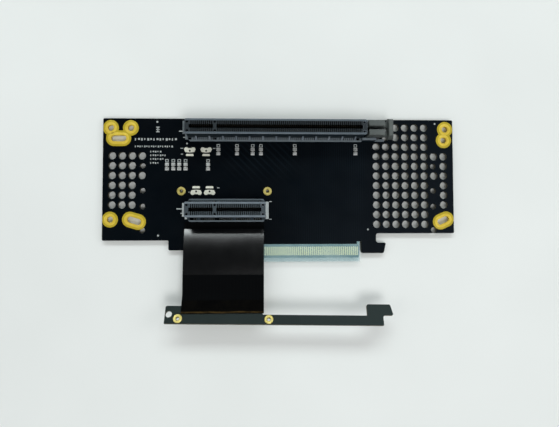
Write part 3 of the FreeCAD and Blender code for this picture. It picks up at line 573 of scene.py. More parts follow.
# screw holes as (x, y), then longer ones as the line between their two centres
SCREWS = [(-53.7, 66.1), (-53.7, 19.5), (117.8, 66.1)]
LOBES = [(-43.7, 66.1, -43.7, 66.1), (-52.1, 60.8, -47.5, 60.8), (-43.7, 19.5, -39.7, 18.3),
         (117.1, 60.4, 117.1, 60.4), (114.9, 18.2, 117.8, 19.5)]
HOLES = [(x, y, x, y) for x, y in SCREWS] + LOBES
CLUSTERS = [[0, 3, 4], [1], [5], [2, 6], [7]]  # holes that share one land
LOCATORS = [(x, y) for x in (-37.5, 111.3) for y in (46.8, 34.2, 26.1, 14.0)]
X16_RIGHT, X4_RIGHT = 72.65, 22.65  # right end of each slot; the key's centre is at 0
X16_TONGUE, X4_TONGUE = 72.3, 22.6  # right end of each tongue
TONGUE_LEFT, KEY, KEY_DEEP = -12.6, 0.95, 7.4
TAB_LEFT, TAB_RIGHT, TAB_LOW, TAB_GAP = -24.4, -15.6, 3.9, 7.6
HOOK_LEFT, HOOK_RIGHT, HOOK_TOE, HOOK_TIP = 73.6, 81.3, 85.2, 86.4
HOOK_LOW, HOOK_HIGH, HOOK_GAP = 2.2, 7.5, 8.3
BOARD_INSERTS = [((low.x + high.x) / 2, (low.y + high.y) / 2)
                 for low, high in solids_of("board_inserts")]


def vents():
    """Centres of the ventilation holes: the two full fields, then the broken columns beside them."""
    places = [(LEFT_VENT_X + c * PITCH, VENT_Y - r * PITCH) for c in range(3) for r in range(6)]
    places += [(LEFT_VENT_X + 3 * PITCH, VENT_Y - r * PITCH) for r in (0, 2)]
    places += [(RIGHT_VENT_X + c * PITCH, VENT_Y - (r - 3) * PITCH) for c in range(6) for r in range(11)]
    places += [(RIGHT_VENT_X + 6 * PITCH, VENT_Y - r * PITCH) for r in (0, 2)]
    places += [(RIGHT_VENT_X + 7 * PITCH, VENT_Y - r * PITCH) for r in range(6)]
    return places


def edge_outline(tongue_right, gap_top):
    """Tab, tongue and hook, left to right, with corner radii."""
    return [
        (TAB_LEFT, TAB_LOW, 0.8), (TAB_RIGHT, TAB_LOW, 0.8), (TAB_RIGHT, TAB_GAP, 0.5),
        (TONGUE_LEFT, TAB_GAP, 0.5), (TONGUE_LEFT, 0, 0.5),
        (-KEY, 0, 0.4), (-KEY, KEY_DEEP, 0.6), (KEY, KEY_DEEP, 0.6), (KEY, 0, 0.4),
        (tongue_right, 0, 0.5), (tongue_right, gap_top, 0.5),
        (HOOK_LEFT, gap_top, 0.5), (HOOK_LEFT, HOOK_LOW, 0.9), (HOOK_TOE, HOOK_LOW, 0.8),
        (HOOK_TIP, HOOK_HIGH, 0.6), (HOOK_RIGHT, HOOK_HIGH, 1.3),
    ]


def board_faces(board):
    """Mask on the board's two faces, laminate on its cut edges and hole walls."""
    face_slots(board, lambda normal, centre: 0 if abs(normal.z) > 0.3 else 1)
    return smooth_walls(board)


def main_board():
    """The long board with its edge profile and all its holes."""
    low, high = BOARD_LOW, BOARD_HIGH
    outline = [(low.x, high.y, 0.7), (low.x, LOW_LEFT, 0.7), (TAB_LEFT, LOW_LEFT, 0.5)]
    outline += edge_outline(X16_TONGUE, HOOK_GAP)
    outline += [(HOOK_RIGHT, LOW_RIGHT, 1.0), (high.x, LOW_RIGHT, 0.7), (high.x, high.y, 0.7)]
    loops = [rounded(outline, 0.5)]
    loops += [circle(x, y, VENT_R, 40) for x, y in vents()]
    loops += [circle(x, y, LOCATOR_R, 32) for x, y in LOCATORS]
    loops += [circle(x, y, MOUNT_R, 40) for x, y in SCREWS]
    loops += [stadium(*lobe, MOUNT_R, 40) for lobe in LOBES]
    loops += [circle(x, X16_Y, PEG_HOLE_R, 24) for x in (0, X16_RIGHT)]
    loops += [circle(x, X4_Y, PEG_HOLE_R, 24) for x in (0, X4_RIGHT)]
    loops += [circle(x, y, SHANK_R, 24) for x, y in BOARD_INSERTS]
    board = board_faces(cut_sheet("board", loops, BACK, TOP, EDGE_SOFT))
    dress(board, [SOLDER_MASK, LAMINATE], "riser", "board_laminate", "main_board")


def lands(name, z0, z1, node):
    """Plated lands with a pressed ring round each hole."""
    parts = []
    below, above = z0 - OVERSHOOT, z1 + OVERSHOOT
    for cluster in CLUSTERS:
        members = [HOLES[n] for n in cluster]
        shapes = [cut_sheet("land", [stadium(*hole, LAND_R, 64)], z0, z1, 0.008) for hole in members]
        shape = shapes[0]
        for other in shapes[1:]:
            shape = boolean(shape, other, "UNION")
        for hole in members:
            cutter = cut_sheet("hole", [stadium(*hole, MOUNT_R, 48)], below, above)
            shape = boolean(shape, cutter, "DIFFERENCE")
        inside = rectangle(BOARD_LOW.x + LAND_INSET_X, BOARD_HIGH.x - LAND_INSET_X,
                           0, BOARD_HIGH.y - LAND_INSET_Y)
        shape = boolean(shape, cut_sheet("trim", [inside], below, above), "INTERSECT")
        shape.data.materials.clear()
        shape.data.materials.append(GOLD)
        parts.append(shape)
    out = z1 if abs(z1) > abs(z0) else z0
    sign = 1 if out > 0 else -1
    for hole in HOLES:
        ring = cut_sheet("ring", [stadium(*hole, RING_R, 64), stadium(*hole, MOUNT_R, 48)],
                         *sorted((out, out + sign * 0.04)), 0.012)
        ring.data.materials.append(GOLD_RING)
        parts.append(ring)
    dress(smooth(join(name, parts), 40), None, "riser", "gold_plate", node)


def barrels():
    """Plated walls of the screw holes, all through the board."""
    parts = []
    for hole in HOLES:
        loops = [stadium(*hole, MOUNT_R, 48), stadium(*hole, MOUNT_R - COPPER, 48)]
        parts.append(cut_sheet("barrel", loops, BACK - COPPER, TOP + COPPER))
    dress(smooth(join("plated_barrels", parts), 40), [GOLD_RING], "riser", "gold_plate")


# ---------------------------------------------------------------- slots
HALF, LEDGE_HALF = 3.75, 5.75  # half widths of a housing and of its ledge
LEDGE, STANDOFF = 2.6, 0.4  # the ledge's top and the housing's floor above the board
LEDGE_RIM, CORNER = 0.8, 1.3
SLOT_LEFT, END, NOTCH = 12.65, 2.0, 1.8
SLOT_HALF, CELL_OUT, CELL = 0.9, 2.7, 0.24  # contact cells: inner and outer end, half width
RIB_HALF = 0.85  # the key's rib in the slot
GUSSET_PITCH = 6.68
WINDOW_PITCH, WINDOW_RIB, WINDOW_END = 8.9, 1.6, 1.1
PEG_R = 1.15
ARM_IN, ARM_OUT = 3.95, 5.2  # the cradle's arms beside the latch


def octagon(x0, x1, y0, y1, corner):
    """A rectangle with cut corners."""
    return [(x0, y0 + corner), (x0 + corner, y0), (x1 - corner, y0), (x1, y0 + corner),
            (x1, y1 - corner), (x1 - corner, y1), (x0 + corner, y1), (x0, y1 - corner)]


def pins(slot_right):
    """Contact places on the 1 mm pitch, left and right of the key."""
    return [n - 11.5 for n in range(11)] + [n + 1.5 for n in range(int(slot_right - 1.65))]


def comb(x0, x1, y, cells):
    """Outline of a slot with a contact cell on both sides at each pin."""
    sides = []
    for sign in (-1, 1):
        near, far = y + sign * SLOT_HALF, y + sign * CELL_OUT
        row = []
        for x in cells:
            row += [(x - CELL, near), (x - CELL, far), (x + CELL, far), (x + CELL, near)]
        sides.append([(x0, near)] + row + [(x1, near)])
    return sides[0] + sides[1][::-1]


def ledge_openings(slot_right, windows):
    """Places along X of a ledge's openings: windows, or notches with a comb of slits between."""
    if windows:
        spans, start = [], -SLOT_LEFT - END + WINDOW_END
        for n in (-1, 1, 2):
            spans.append((start, n * WINDOW_PITCH - WINDOW_RIB / 2))
            start = n * WINDOW_PITCH + WINDOW_RIB / 2
        return spans + [(start, slot_right)]
    notches = [(end - NOTCH, end) for end in (-SLOT_LEFT, 0, slot_right)]
    spans = notches + [(x - 0.14, x + 0.14) for x in pins(slot_right)
                       if all(x + 0.35 < low or x - 0.35 > high for low, high in notches)]
    return sorted(spans)


def ledge_plate(y, left, right, openings):
    """The ledge: a core under the crown, ribs between the openings and a lip outside them."""
    bm = bmesh.new()
    near, far = HALF + 0.08, LEDGE_HALF - LEDGE_RIM
    z0, z1 = TOP + STANDOFF, TOP + LEDGE
    add_box(bm, left, right, y - near, y + near, z0, z1)
    cut = far - (LEDGE_HALF - CORNER)
    for side, spans in zip((-1, 1), openings):
        first, last = spans[0][0], spans[-1][1]
        corner = LEDGE_HALF - CORNER
        shapes = [[(left, near), (left, corner), (left + cut, far), (first, far), (first, near)],
                  [(right, near), (right, corner), (right - cut, far), (last, far), (last, near)]]
        shapes += [rectangle(a[1], b[0], near, far) for a, b in zip(spans, spans[1:])]
        for shape in shapes:
            add_prism(bm, [(u, y + side * v) for u, v in shape], z0, z1, "z")
        lip = [(left + cut, far), (left + CORNER, LEDGE_HALF),
               (right - CORNER, LEDGE_HALF), (right - cut, far)]
        add_prism(bm, [(u, y + side * v) for u, v in lip], z0, z1, "z", 0.07)
    return from_bmesh("base", bm)


def housing(y, slot_right, windows):
    """Crown with contact cells, ledge with openings, gussets, pegs and stand-off pads."""
    left, right = -SLOT_LEFT - END, slot_right + END
    ledge = TOP + LEDGE
    cells = pins(slot_right)
    loops = [octagon(left, right, y - HALF, y + HALF, 0.5),
             comb(-SLOT_LEFT, -RIB_HALF, y, [x for x in cells if x < 0]),
             comb(RIB_HALF, slot_right, y, [x for x in cells if x > 0])]
    for x in (left + 1.15, 0, slot_right + 0.75):
        loops += [circle(x, y + side * 2.25, 0.6, 20) for side in (-1, 1)]
    upper = cut_sheet("upper", loops, ledge - 0.2, CROWN, 0.1)
    openings = ledge_openings(slot_right, windows), ledge_openings(slot_right, False)
    base = ledge_plate(y, left, right, openings)
    bm = bmesh.new()
    if not windows:
        for n in range(-2, 11):
            x = (n + 0.5) * GUSSET_PITCH
            for side in (-1, 1):
                root = y + side * HALF
                section = [(root, ledge - 0.05), (root, ledge + 3.4), (root + side * 1.2, ledge - 0.05)]
                add_prism(bm, section, x - 0.4, x + 0.4, "x", 0.06, 1)
    for x in (0, slot_right):
        add_prism(bm, circle(x, y, PEG_R, 20), BACK - 1.0, TOP + STANDOFF + 0.3, "z", 0.15)
    for x in (left + 1, 0, right - 1):
        add_box(bm, x - 1, x + 1, y - 1.6, y + 1.6, TOP, TOP + STANDOFF + 0.2)
    return [upper, base, from_bmesh("ribs", bm)]


def cradle(y, start):
    """Arms beside the latch, from the housing's end on."""
    bm = bmesh.new()
    for side in (-1, 1):
        y0, y1 = sorted((y + side * ARM_IN, y + side * ARM_OUT))
        arm = [(start - 1, TOP), (start + 11, TOP), (start + 11, TOP + 0.9), (start + 6.2, TOP + 0.9),
               (start + 6.2, TOP + 4.0), (start + 5.6, TOP + 4.6), (start - 1, TOP + 4.6)]
        add_prism(bm, arm, y0, y1, "y", 0.12)
    return from_bmesh("cradle", bm)


def finish_housing(name, parts, node, y, slot_right, top):
    """One plastic painted with light and shade: tops light, walls painted dark as shade, the slot's
    inside painted darker still as shade, sloping edges painted light as a highlight.
    """
    piece = join(name, parts)

    # each face gets the top colour, the painted highlight or the painted shade from its slope and place
    def pick(normal, centre):
        inside = abs(centre.y / MM - y) < 2.8 and centre.x / MM < slot_right + 0.05
        if abs(normal.z) > 0.97:
            return 0
        if max(abs(normal.x), abs(normal.y)) > 0.97:
            return 3 if inside else 2
        return 0 if inside else 1

    face_slots(piece, pick)
    dress(piece, [top, LIT_SLOT_EDGE, SHADED_SLOT_SIDE, SHADED_SLOT_INSIDE], "riser", "slot_plastic", node)


def contacts(name, y, slot_right, node):
    """Spring contacts in the cells and solder tails under the ledge."""
    bm = bmesh.new()
    thick = 0.12
    spring = [(1.6, 2.9), (1.6, 5.4), (0.62, 7.2), (0.68, 7.9), (1.5, 9.2), (1.5 - thick, 9.25),
              (0.52, 7.95), (0.5, 7.2), (1.6 - thick, 5.35), (1.6 - thick, 2.9)]
    tail = [(1.6, 0.02), (5.5, 0.02), (5.5, 0.2), (1.6, 0.2)]
    for x in pins(slot_right):
        for side in (-1, 1):
            add_prism(bm, [(y + side * v, TOP + w) for v, w in spring], x - 0.18, x + 0.18, "x", 0, 0)
            add_prism(bm, [(y + side * v, TOP + w) for v, w in tail], x - 0.17, x + 0.17, "x", 0, 1)
    dress(from_bmesh(name, bm), [SHADED_CONTACT, TAIL], "riser", "contact_metal", node)


def slot_pads(name, y, slot_right):
    """Solder pads under the tails."""
    bm = bmesh.new()
    for x in pins(slot_right):
        for side in (-1, 1):
            y0, y1 = sorted((y + side * 4.0, y + side * 5.6))
            add_box(bm, x - 0.27, x + 0.27, y0, y1, TOP, TOP + COPPER)
    dress(from_bmesh(name, bm), [TIN], "riser", "tin")


# ---------------------------------------------------------------- ribbon
RISE, MID = 22.0, 2.0  # slopes of the ribbon's two straights, degrees
BEND_1, BEND_2, BEND_3 = 3.0, 60.0, 8.0
BOND, BOND_GAP = 1.4, 0.1  # length on the adhesive and its thickness
LEAD, CARD_ROOT = 0.6, 7.8
CARD_BACK = 12.5  # back edge of the edge card from its finger edge
RIBBON_THICK, TAPE_TOP = 0.3, 0.38  # above the ribbon's underside
TAPE_LENGTH = 6.0  # along Y
GLOSSY = (-8, 14.8)  # stretch of the ribbon with a glossy film, along Y
SHEET_STEP, SHEET_COLUMNS = 0.4, 8  # spacing of the sheets' points, and their columns


def ribbon_points():
    """Underside of the ribbon as (y, z) with the heading at each point, from the main board on."""
    rise, mid, tilt = math.radians(RISE), math.radians(MID), CARD_TILT
    start_y, start_z = RIBBON_HIGH.y, TOP + BOND_GAP
    end_y = CARD_AT.y + LEAD * math.cos(tilt) + BOND_GAP * math.sin(tilt)
    end_z = CARD_AT.z - LEAD * math.sin(tilt) + BOND_GAP * math.cos(tilt)
    # what the bends leave for the two straights: run along Y, climb along Z
    run = start_y - BOND - end_y - BEND_1 * math.sin(rise)
    run -= BEND_2 * (math.sin(rise) - math.sin(mid))
    run -= BEND_3 * (math.sin(tilt) - math.sin(mid))
    climb = end_z - start_z - BEND_1 * (1 - math.cos(rise))
    climb -= BEND_2 * (math.cos(mid) - math.cos(rise))
    climb -= BEND_3 * (math.cos(mid) - math.cos(tilt))
    determinant = math.cos(rise) * math.sin(mid) - math.sin(rise) * math.cos(mid)
    steep = (run * math.sin(mid) - climb * math.cos(mid)) / determinant
    shallow = (math.cos(rise) * climb - math.sin(rise) * run) / determinant
    # stretches as (length, turn)
    stretches = [(BOND, 0.0), (BEND_1 * abs(rise), rise), (steep, 0.0),
                 (BEND_2 * abs(mid - rise), mid - rise), (shallow, 0.0),
                 (BEND_3 * abs(tilt - mid), tilt - mid), (LEAD + CARD_ROOT - 0.2, 0.0)]
    y, z, slope = start_y, start_z, 0.0
    points = [(y, z, slope)]
    for length, turn in stretches:
        count = max(2, int(length / SHEET_STEP))
        for n in range(count):
            middle = slope + turn / count / 2
            y -= length / count * math.cos(middle)
            z += length / count * math.sin(middle)
            slope += turn / count
            points.append((y, z, slope))
    return points


def strip(name, points, low, high, x0, x1):
    """A sheet that follows points, between two offsets above them."""
    bm = bmesh.new()
    columns = SHEET_COLUMNS
    rows = []
    for y, z, slope in points:
        row = []
        for k in range(columns + 1):
            x = x0 + (x1 - x0) * k / columns
            ends = [Vector((x, y + h * math.sin(slope), z + h * math.cos(slope))) for h in (low, high)]
            row.append([bm.verts.new(end * MM) for end in ends])
        rows.append(row)
    for n in range(len(rows) - 1):
        for k in range(columns):
            for h in (0, 1):
                bm.faces.new((rows[n][k][h], rows[n][k + 1][h], rows[n + 1][k + 1][h], rows[n + 1][k][h]))
        for k in (0, columns):
            bm.faces.new((rows[n][k][0], rows[n][k][1], rows[n + 1][k][1], rows[n + 1][k][0]))
    for n in (0, len(rows) - 1):
        for k in range(columns):
            bm.faces.new((rows[n][k][0], rows[n][k + 1][0], rows[n][k + 1][1], rows[n][k][1]))
    return smooth(from_bmesh(name, bm), 40)


def ribbon_material(name, specular, rough):
    """Black cover film with its conductors just showing."""
    n = Nodes(name)
    lines = n.spread(n.wave(190, "X", 0.15), 0.5, 0.95)
    tone = n.mix(n.math("MULTIPLY", lines, 0.3), linear(2, 3, 4), linear(8, 9, 11))
    n.bump(n.math("ADD", n.math("MULTIPLY", lines, 0.2), n.noise(60, 2)), 0.06, 0.05)
    roughness = n.spread(n.noise(90, 4), 0.3, 0.7, rough - 0.02, rough + 0.03)
    return n.set(Base_Color=tone, Roughness=roughness, Specular_IOR_Level=specular)


def tape_material():
    """Dark film with the amber line of glue along its upper edge."""
    n = Nodes("amber_tape")
    mottled = n.noise(260, 5)
    tone = n.mix(n.spread(mottled, 0.35, 0.75), linear(2, 2, 2), linear(8, 7, 5))
    ragged = n.math("ADD", n.axis("Y"), n.math("MULTIPLY", n.noise(120, 3), 0.0012))
    line = n.math("MULTIPLY", n.spread(ragged, TAPE_EDGE - 0.0008, TAPE_EDGE - 0.0004),
                  n.spread(ragged, TAPE_EDGE + 0.0002, TAPE_EDGE - 0.0002))
    broken = n.spread(n.noise(300, 2), 0.3, 0.6, 0.3, 1.0)
    tone = n.mix(n.math("MULTIPLY", line, broken), tone, linear(66, 52, 26))
    n.bump(n.noise(180, 4), 0.15, 0.03)
    return n.set(Base_Color=tone, Roughness=0.75, Specular_IOR_Level=0.03)


TAPE_EDGE = -0.0246  # place of the line along Y, in metres
RIBBON = ribbon_material("ribbon_film", 1.0, 0.19)
RIBBON_DULL = ribbon_material("ribbon_dull", 0.04, 0.7)
TAPE = tape_material()


# ---------------------------------------------------------------- cover
def film_material():
    """Pale blue clear film with a slight haze."""
    n = Nodes("cover_film")
    haze = n.noise(150, 4)
    tone = n.mix(n.spread(haze, 0.3, 0.7), linear(160, 205, 212), linear(188, 222, 224))
    cover = n.spread(haze, 0.3, 0.7, 0.24, 0.3)
    return n.set(Base_Color=tone, Roughness=0.25, Alpha=cover, Specular_IOR_Level=0.3)


FILM = film_material()


# ---------------------------------------------------------------- make everything
main_board()
lands("lands_front", TOP, TOP + COPPER, "mounting_lands_front")
lands("lands_back", BACK - COPPER, BACK, "mounting_lands_back")
barrels()

x16_parts = housing(X16_Y, X16_RIGHT, False) + [cradle(X16_Y, X16_RIGHT + END)]
finish_housing("x16_slot", x16_parts, "x16_housing", X16_Y, X16_RIGHT, X16_TOP)
finish_housing("x4_slot", housing(X4_Y, X4_RIGHT, True), "x4_housing", X4_Y, X4_RIGHT, X4_TOP)
contacts("x16_springs", X16_Y, X16_RIGHT, "x16_contacts")
contacts("x4_springs", X4_Y, X4_RIGHT, "x4_contacts")
slot_pads("x16_pads", X16_Y, X16_RIGHT)
slot_pads("x4_pads", X4_Y, X4_RIGHT)

FLANGE_HALF = 3.3
for node in ("x16_hold_down", "x4_hold_down_left", "x4_hold_down_right"):
    low, high = [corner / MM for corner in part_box(node)]
    middle = (low.y + high.y) / 2
    bm = bmesh.new()
    add_box(bm, low.x + 0.1, high.x - 0.1, middle - FLANGE_HALF, middle + FLANGE_HALF,
            high.z - 0.45, high.z - 0.02, 0.12)
    clip = join(node + "_clip", [bevelled(copy_of(node, node + "_bent"), 0.1), from_bmesh("flange", bm)])
    dress(clip, [CLIP_DULL if node == "x16_hold_down" else CLIP], "riser", "clip_steel", node)
latch = bevelled(copy_of("retention_latch", "latch_moulding"), 0.22, 3)
dress(smooth(latch, 40), [LATCH], "latch", "latch_plastic", "retention_latch")

INSERT = [(0.8, 0.15), (0.9, 0.25), (1.15, 0.5), (1.95, 0.5), (2.15, 0.35), (2.15, 0.0),
          (SHANK_R, 0.0), (SHANK_R, -1.6), (0.8, -1.6)]
CARD_INSERTS = [(3.8 - 21.85, -10.1), (3.8 + 21.85, -10.1)]
CARD_HOLE = (-22.6, -7.9)


def inserts(name, places, matrix, node):
    """Pressed brass inserts with a flange, their bore painted darker as shade."""
    bm = bmesh.new()
    for x, y in places:
        add_lathe(bm, INSERT, matrix @ Matrix.Translation(Vector((x, y, TOP)) * MM), 40)
    piece = smooth(from_bmesh(name, bm), 30)
    sides = len(INSERT)
    # the bore wall, the profile's last face, takes the painted shade
    for n, polygon in enumerate(piece.data.polygons):
        polygon.material_index = 1 if n % sides >= sides - 1 else 0
    dress(piece, [BRASS, SHADED_BORE], "riser", "brass_inserts", node)


inserts("board_brass", BOARD_INSERTS, Matrix.Identity(4), "board_inserts")
inserts("card_brass", CARD_INSERTS, CARD, "card_inserts")

# the edge card is laid out as the main board is, turned over along Y
card_outline = [(TAB_LEFT, CARD_BACK, 0.3)] + edge_outline(X4_TONGUE, CARD_ROOT)
card_outline += [(HOOK_RIGHT, CARD_BACK, 0.3)]
card_outline = [(x, -y, r) for x, y, r in card_outline]
card_loops = [rounded(card_outline, 0.5), circle(*CARD_HOLE, MOUNT_R, 40)]
card_loops += [circle(x, y, SHANK_R, 24) for x, y in CARD_INSERTS]
card = board_faces(cut_sheet("card", card_loops, BACK, TOP, EDGE_SOFT))
card.data.transform(CARD)
dress(card, [CARD_MASK_PAINTED_SHEEN, LAMINATE], "riser", "board_laminate", "edge_card")

points = ribbon_points()
x0, x1 = RIBBON_LOW.x, RIBBON_HIGH.x
ribbon = strip("ribbon", points, 0.0, RIBBON_THICK, x0, x1)
face_slots(ribbon, lambda normal, centre: 0 if GLOSSY[0] * MM < centre.y < GLOSSY[1] * MM else 1)
dress(ribbon, [RIBBON, RIBBON_DULL], "riser", "ribbon_film", "flex_ribbon")
taped = [point for point in points if point[0] < points[-1][0] + TAPE_LENGTH]
tape = strip("tape", taped[::-1], RIBBON_THICK, TAPE_TOP, x0, x1)
dress(tape, [TAPE], "riser", "tape_film", "ribbon_tape")

# CAD nodes that are kept, with a better material
for node, material in (("edge_contacts_front", FINGER), ("edge_contacts_back", FINGER),
                       ("card_contacts_back", FINGER), ("ribbon_bonds", CERAMIC)):
    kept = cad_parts[node].data.materials
    kept.clear()
    kept.append(material)

cover = bevelled(copy_of("edge_cover", "film_cover"), 0.08)
bm = bmesh.new()
COVER_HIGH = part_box("edge_cover")[1] / MM
add_box(bm, COVER_HIGH.x - 1.5, COVER_HIGH.x - 0.1, COVER_HIGH.y - 0.2, COVER_HIGH.y + 1.3,
        TOP + 0.15, TOP + 0.45, 0.05)
cover = join("film_cover_folded", [cover, from_bmesh("corner_tab", bm)])
dress(cover, [FILM], "riser", "cover_film", "edge_cover")

INK_THICK, TINNED = 0.02, 0.07  # above the board


def chip_parts():
    """Chip capacitors with solder fillets and pads; returns a printed open frame beside each."""
    bm = bmesh.new()
    marks = bmesh.new()
    for low, high in solids_of("chip_capacitors"):
        x, y = (low.x + high.x) / 2, (low.y + high.y) / 2
        add_box(bm, low.x + 0.02, high.x - 0.02, y - 0.45, y + 0.45, TOP + 0.08, high.z - 0.05, 0.05, 0)
        for side in (-1, 1):
            y0, y1 = sorted((y + side * 0.3, y + side * 1.0))
            add_box(bm, low.x, high.x, y0, y1, TOP + 0.05, high.z, 0.12, 1)
            y0, y1 = sorted((y + side * 0.3, y + side * 1.9))
            add_box(bm, x - 1.0, x + 1.0, y0, y1, TOP, TOP + TINNED, 0.03, 1)
            root, toe = y + side * 0.9, y + side * 1.7
            fillet = [(root, TOP + 0.05), (toe, TOP + 0.05), (root, TOP + 0.55)]
            add_prism(bm, fillet, x - 0.75, x + 0.75, "x", 0.03, 1)
        for y0, y1 in ((y + 2.2, y + 2.55), (y + 3.45, y + 3.8)):
            add_box(marks, x - 0.85, x + 0.85, y0, y1, TOP, TOP + INK_THICK)
        for side in (-1, 1):
            x0, x1 = sorted((x + side * 0.5, x + side * 0.85))
            add_box(marks, x0, x1, y + 2.5, y + 3.5, TOP, TOP + INK_THICK)
    dress(from_bmesh("chips", bm), [CERAMIC, SILVER], "riser", "chip_ceramic", "chip_capacitors")
    return from_bmesh("chip_marks", marks)


# outline of a wide land from its centre: (x, y, corner radius), the left half's mirror at the right
WIDE_LAND = [(-2.95, -0.35, 0.3), (-2.3, 1.0, 0.3), (-0.95, 1.2, 0.2), (0.95, 1.2, 0.2),
             (2.3, 1.0, 0.3), (2.95, -0.35, 0.3), (2.4, -1.4, 0.4), (1.3, -1.4, 0.2),
             (0.8, -1.0, 0.3), (-0.8, -1.0, 0.3), (-1.3, -1.4, 0.2), (-2.4, -1.4, 0.4)]


def power_parts():
    """Bare tinned lands in pairs: a wide tapered one with a hole in it, and a slim one."""
    parts = []
    solids = solids_of("power_lands")
    wide = [box for box in solids if (box[1] - box[0]).y > 2]
    slim = [box for box in solids if (box[1] - box[0]).y < 2]
    for low, high in wide:
        x, y = (low.x + high.x) / 2, (low.y + high.y) / 2
        near = [(a.y + b.y) / 2 for a, b in slim if abs(a.x - low.x) < 1]
        slim_y = min(near, key=lambda place: abs(place - y))
        way = 1 if slim_y > y else -1
        loops = [rounded([(x + u, y + way * v, r) for u, v, r in WIDE_LAND], 0.3),
                 circle(x, y + way * 0.35, 0.5, 24)]
        parts.append(cut_sheet("wide", loops, TOP, TOP + TINNED, 0.02))
        low_y, high_y = slim_y - 0.55, slim_y + 0.55
        outline = [(x - 2.1, low_y), (x + 2.1, low_y), (x + 1.7, high_y), (x - 1.7, high_y)]
        parts.append(cut_sheet("slim", [rounded(outline, 0.3)], TOP, TOP + TINNED, 0.02))
    dress(join("bare_lands", parts), [TIN], "riser", "tin", "power_lands")


# printed marks: dots as (x, y, radius), bars as (x0, x1, y0, y1),
# rows of blank cells as (x, y, pitch, count, height)
DOTS = [(-30.4, 69.3, 0.5), (-29.6, 11.4, 0.5), (112.6, 69.05, 0.45), (77.1, 14.3, 0.45),
        (-15.3, 58.3, 0.45)]
BARS = [(-19.4, -16.2, 64.3, 64.8), (-17.3, -15.9, 61.2, 61.6), (-20.5, -17.5, 24.6, 25.2),
        (-18.4, -17.0, 22.4, 22.9), (26.5, 27.7, 28.4, 28.8), (26.5, 27.7, 19.4, 19.8),
        (-18.6, -17.2, 55.6, 56.0), (-18.4, -17.3, 52.6, 53.0),
        (-2.2, -0.9, 55.6, 56.0), (-14.5, -13.9, 33.2, 33.6), (0.0, 1.2, 35.4, 35.8)]
PRINT_ROWS = [(-41.6, 59.7, 1.55, 14, 1.2), (-41.6, 56.2, 1.15, 17, 0.9),
              (-33.8, 53.6, 1.2, 5, 0.85), (-33.8, 51.7, 1.2, 7, 0.85),
              (-33.8, 49.8, 1.2, 6, 0.85), (-33.8, 47.8, 1.2, 4, 0.85)]


def printed_marks(extra):
    """Plain printed dots, bars, a ladder mark and rows of blank cells; no letters."""
    ink = TOP + INK_THICK
    parts = [cut_sheet("dot", [circle(x, y, r, 20)], TOP, ink) for x, y, r in DOTS]
    bm = bmesh.new()
    for x0, x1, y0, y1 in BARS:
        add_box(bm, x0, x1, y0, y1, TOP, ink)
    for x, y, pitch, count, height in PRINT_ROWS:
        for n in range(count):
            width = pitch * (0.35 + 0.15 * (n * 5 % 3))
            lift = height * 0.25 * (n * 3 % 2)
            add_box(bm, x + n * pitch, x + n * pitch + width, y + lift, y + height, TOP, ink)
    for k in (-1, 0, 1):
        rung = 65.4 + 1.2 * k
        add_box(bm, -31.0, -29.2, rung - 0.2, rung + 0.2, TOP, ink)
    add_box(bm, -30.35, -29.85, 64.4, 66.4, TOP, ink)
    marks = join("printed_marks", parts + [from_bmesh("bars", bm), extra])
    dress(marks, [INK], "riser", "board_laminate")


power_parts()
printed_marks(chip_parts())


# ---------------------------------------------------------------- stage, light, camera
def floor_material():
    """Plain paper that grows brighter far off, so that its edge melts into the backdrop."""
    n = Nodes("floor_paper")
    tone = n.mix(n.spread(n.noise(6, 3), 0.3, 0.7), linear(224, 227, 225), linear(231, 234, 232))
    far = n.new("VectorMath", operation="LENGTH")
    n.link(n.place, far.inputs[0])
    glow = n.spread(far.outputs["Value"], 0.35, 1.1, 0.0, 0.72)
    return n.set(Base_Color=tone, Roughness=0.9, Specular_IOR_Level=0.1,
                 Emission_Color=(0.97, 0.99, 1, 1), Emission_Strength=glow)


bm = bmesh.new()
bmesh.ops.create_grid(bm, x_segments=2, y_segments=2, size=1.5)
floor = from_bmesh("floor", bm)
floor.location = (0.03, 0.03, FLOOR)
floor.data.materials.append(floor_material())

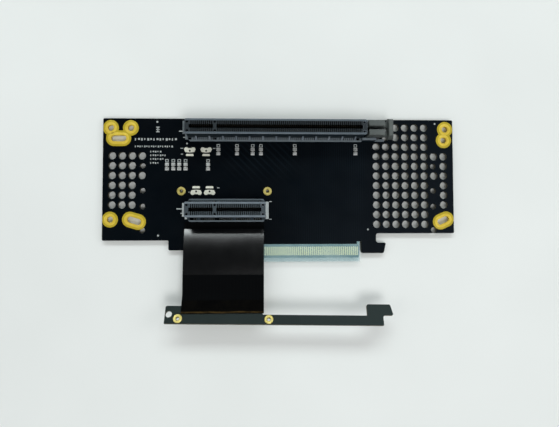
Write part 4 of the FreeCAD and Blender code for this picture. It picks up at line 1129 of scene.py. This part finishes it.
# the sky is darker overhead, as a studio's ceiling is; the camera sees it white
world = bpy.data.worlds.new("studio")
bpy.context.scene.world = world
world.use_nodes = True
tree = world.node_tree
background = tree.nodes["Background"]
background.inputs["Color"].default_value = (0.97, 0.99, 1.0, 1)
sky = tree.nodes.new("ShaderNodeTexCoord")
height = tree.nodes.new("ShaderNodeSeparateXYZ")
tree.links.new(sky.outputs["Generated"], height.inputs[0])
dome = tree.nodes.new("ShaderNodeMapRange")
set_range(dome, 0.6, 0.9, 0.44, 0.04)
tree.links.new(height.outputs["Z"], dome.inputs["Value"])
seen = tree.nodes.new("ShaderNodeLightPath")
shown = tree.nodes.new("ShaderNodeMath")
shown.operation = "MAXIMUM"
tree.links.new(dome.outputs["Result"], shown.inputs[0])
tree.links.new(seen.outputs["Is Camera Ray"], shown.inputs[1])
tree.links.new(shown.outputs[0], background.inputs["Strength"])


def area(name, place, size, power, tint=(1, 1, 1)):
    """A soft lamp that faces the part; its size in metres and its power in watts."""
    lamp = bpy.data.lights.new(name, "AREA")
    lamp.shape = "RECTANGLE"
    lamp.size, lamp.size_y = size
    lamp.energy = power
    lamp.color = tint
    obj = bpy.data.objects.new(name, lamp)
    bpy.context.scene.collection.objects.link(obj)
    obj.location = place
    towards = Vector((0.03, 0.03, 0)) - Vector(place)
    obj.rotation_euler = towards.to_track_quat("-Z", "Y").to_euler()


area("key", (0.25, -0.46, 1.05), (0.5, 0.5), 5.5)
area("panel", (0.0, 0.75, 0.72), (0.9, 0.22), 4.8, (0.92, 1.0, 1.0))
area("side", (-0.8, -0.1, 0.7), (0.5, 0.7), 1.3)
area("far_side", (0.95, 0.2, 0.8), (0.5, 0.7), 2.2)

# camera: its place in millimetres, and its focal length as 440 pixels in a frame 559 wide
camera_data = bpy.data.cameras.new("camera")
camera = bpy.data.objects.new("camera", camera_data)
bpy.context.scene.collection.objects.link(camera)
forward = Vector((0.0333, 0.0367, -0.9988)).normalized()
up = Vector((0.0009, 0.9993, 0.0368))
right = forward.cross(up).normalized()
up = right.cross(forward)
basis = Matrix((right, up, -forward)).transposed().to_4x4()
camera.matrix_world = Matrix.Translation(Vector((24.29, 14.27, 225.05)) * MM) @ basis
camera_data.sensor_width = 36
camera_data.lens = 440 / 559 * 36
camera_data.clip_start, camera_data.clip_end = 0.01, 10
bpy.context.scene.camera = camera
bpy.context.scene.view_settings.view_transform = "Standard"
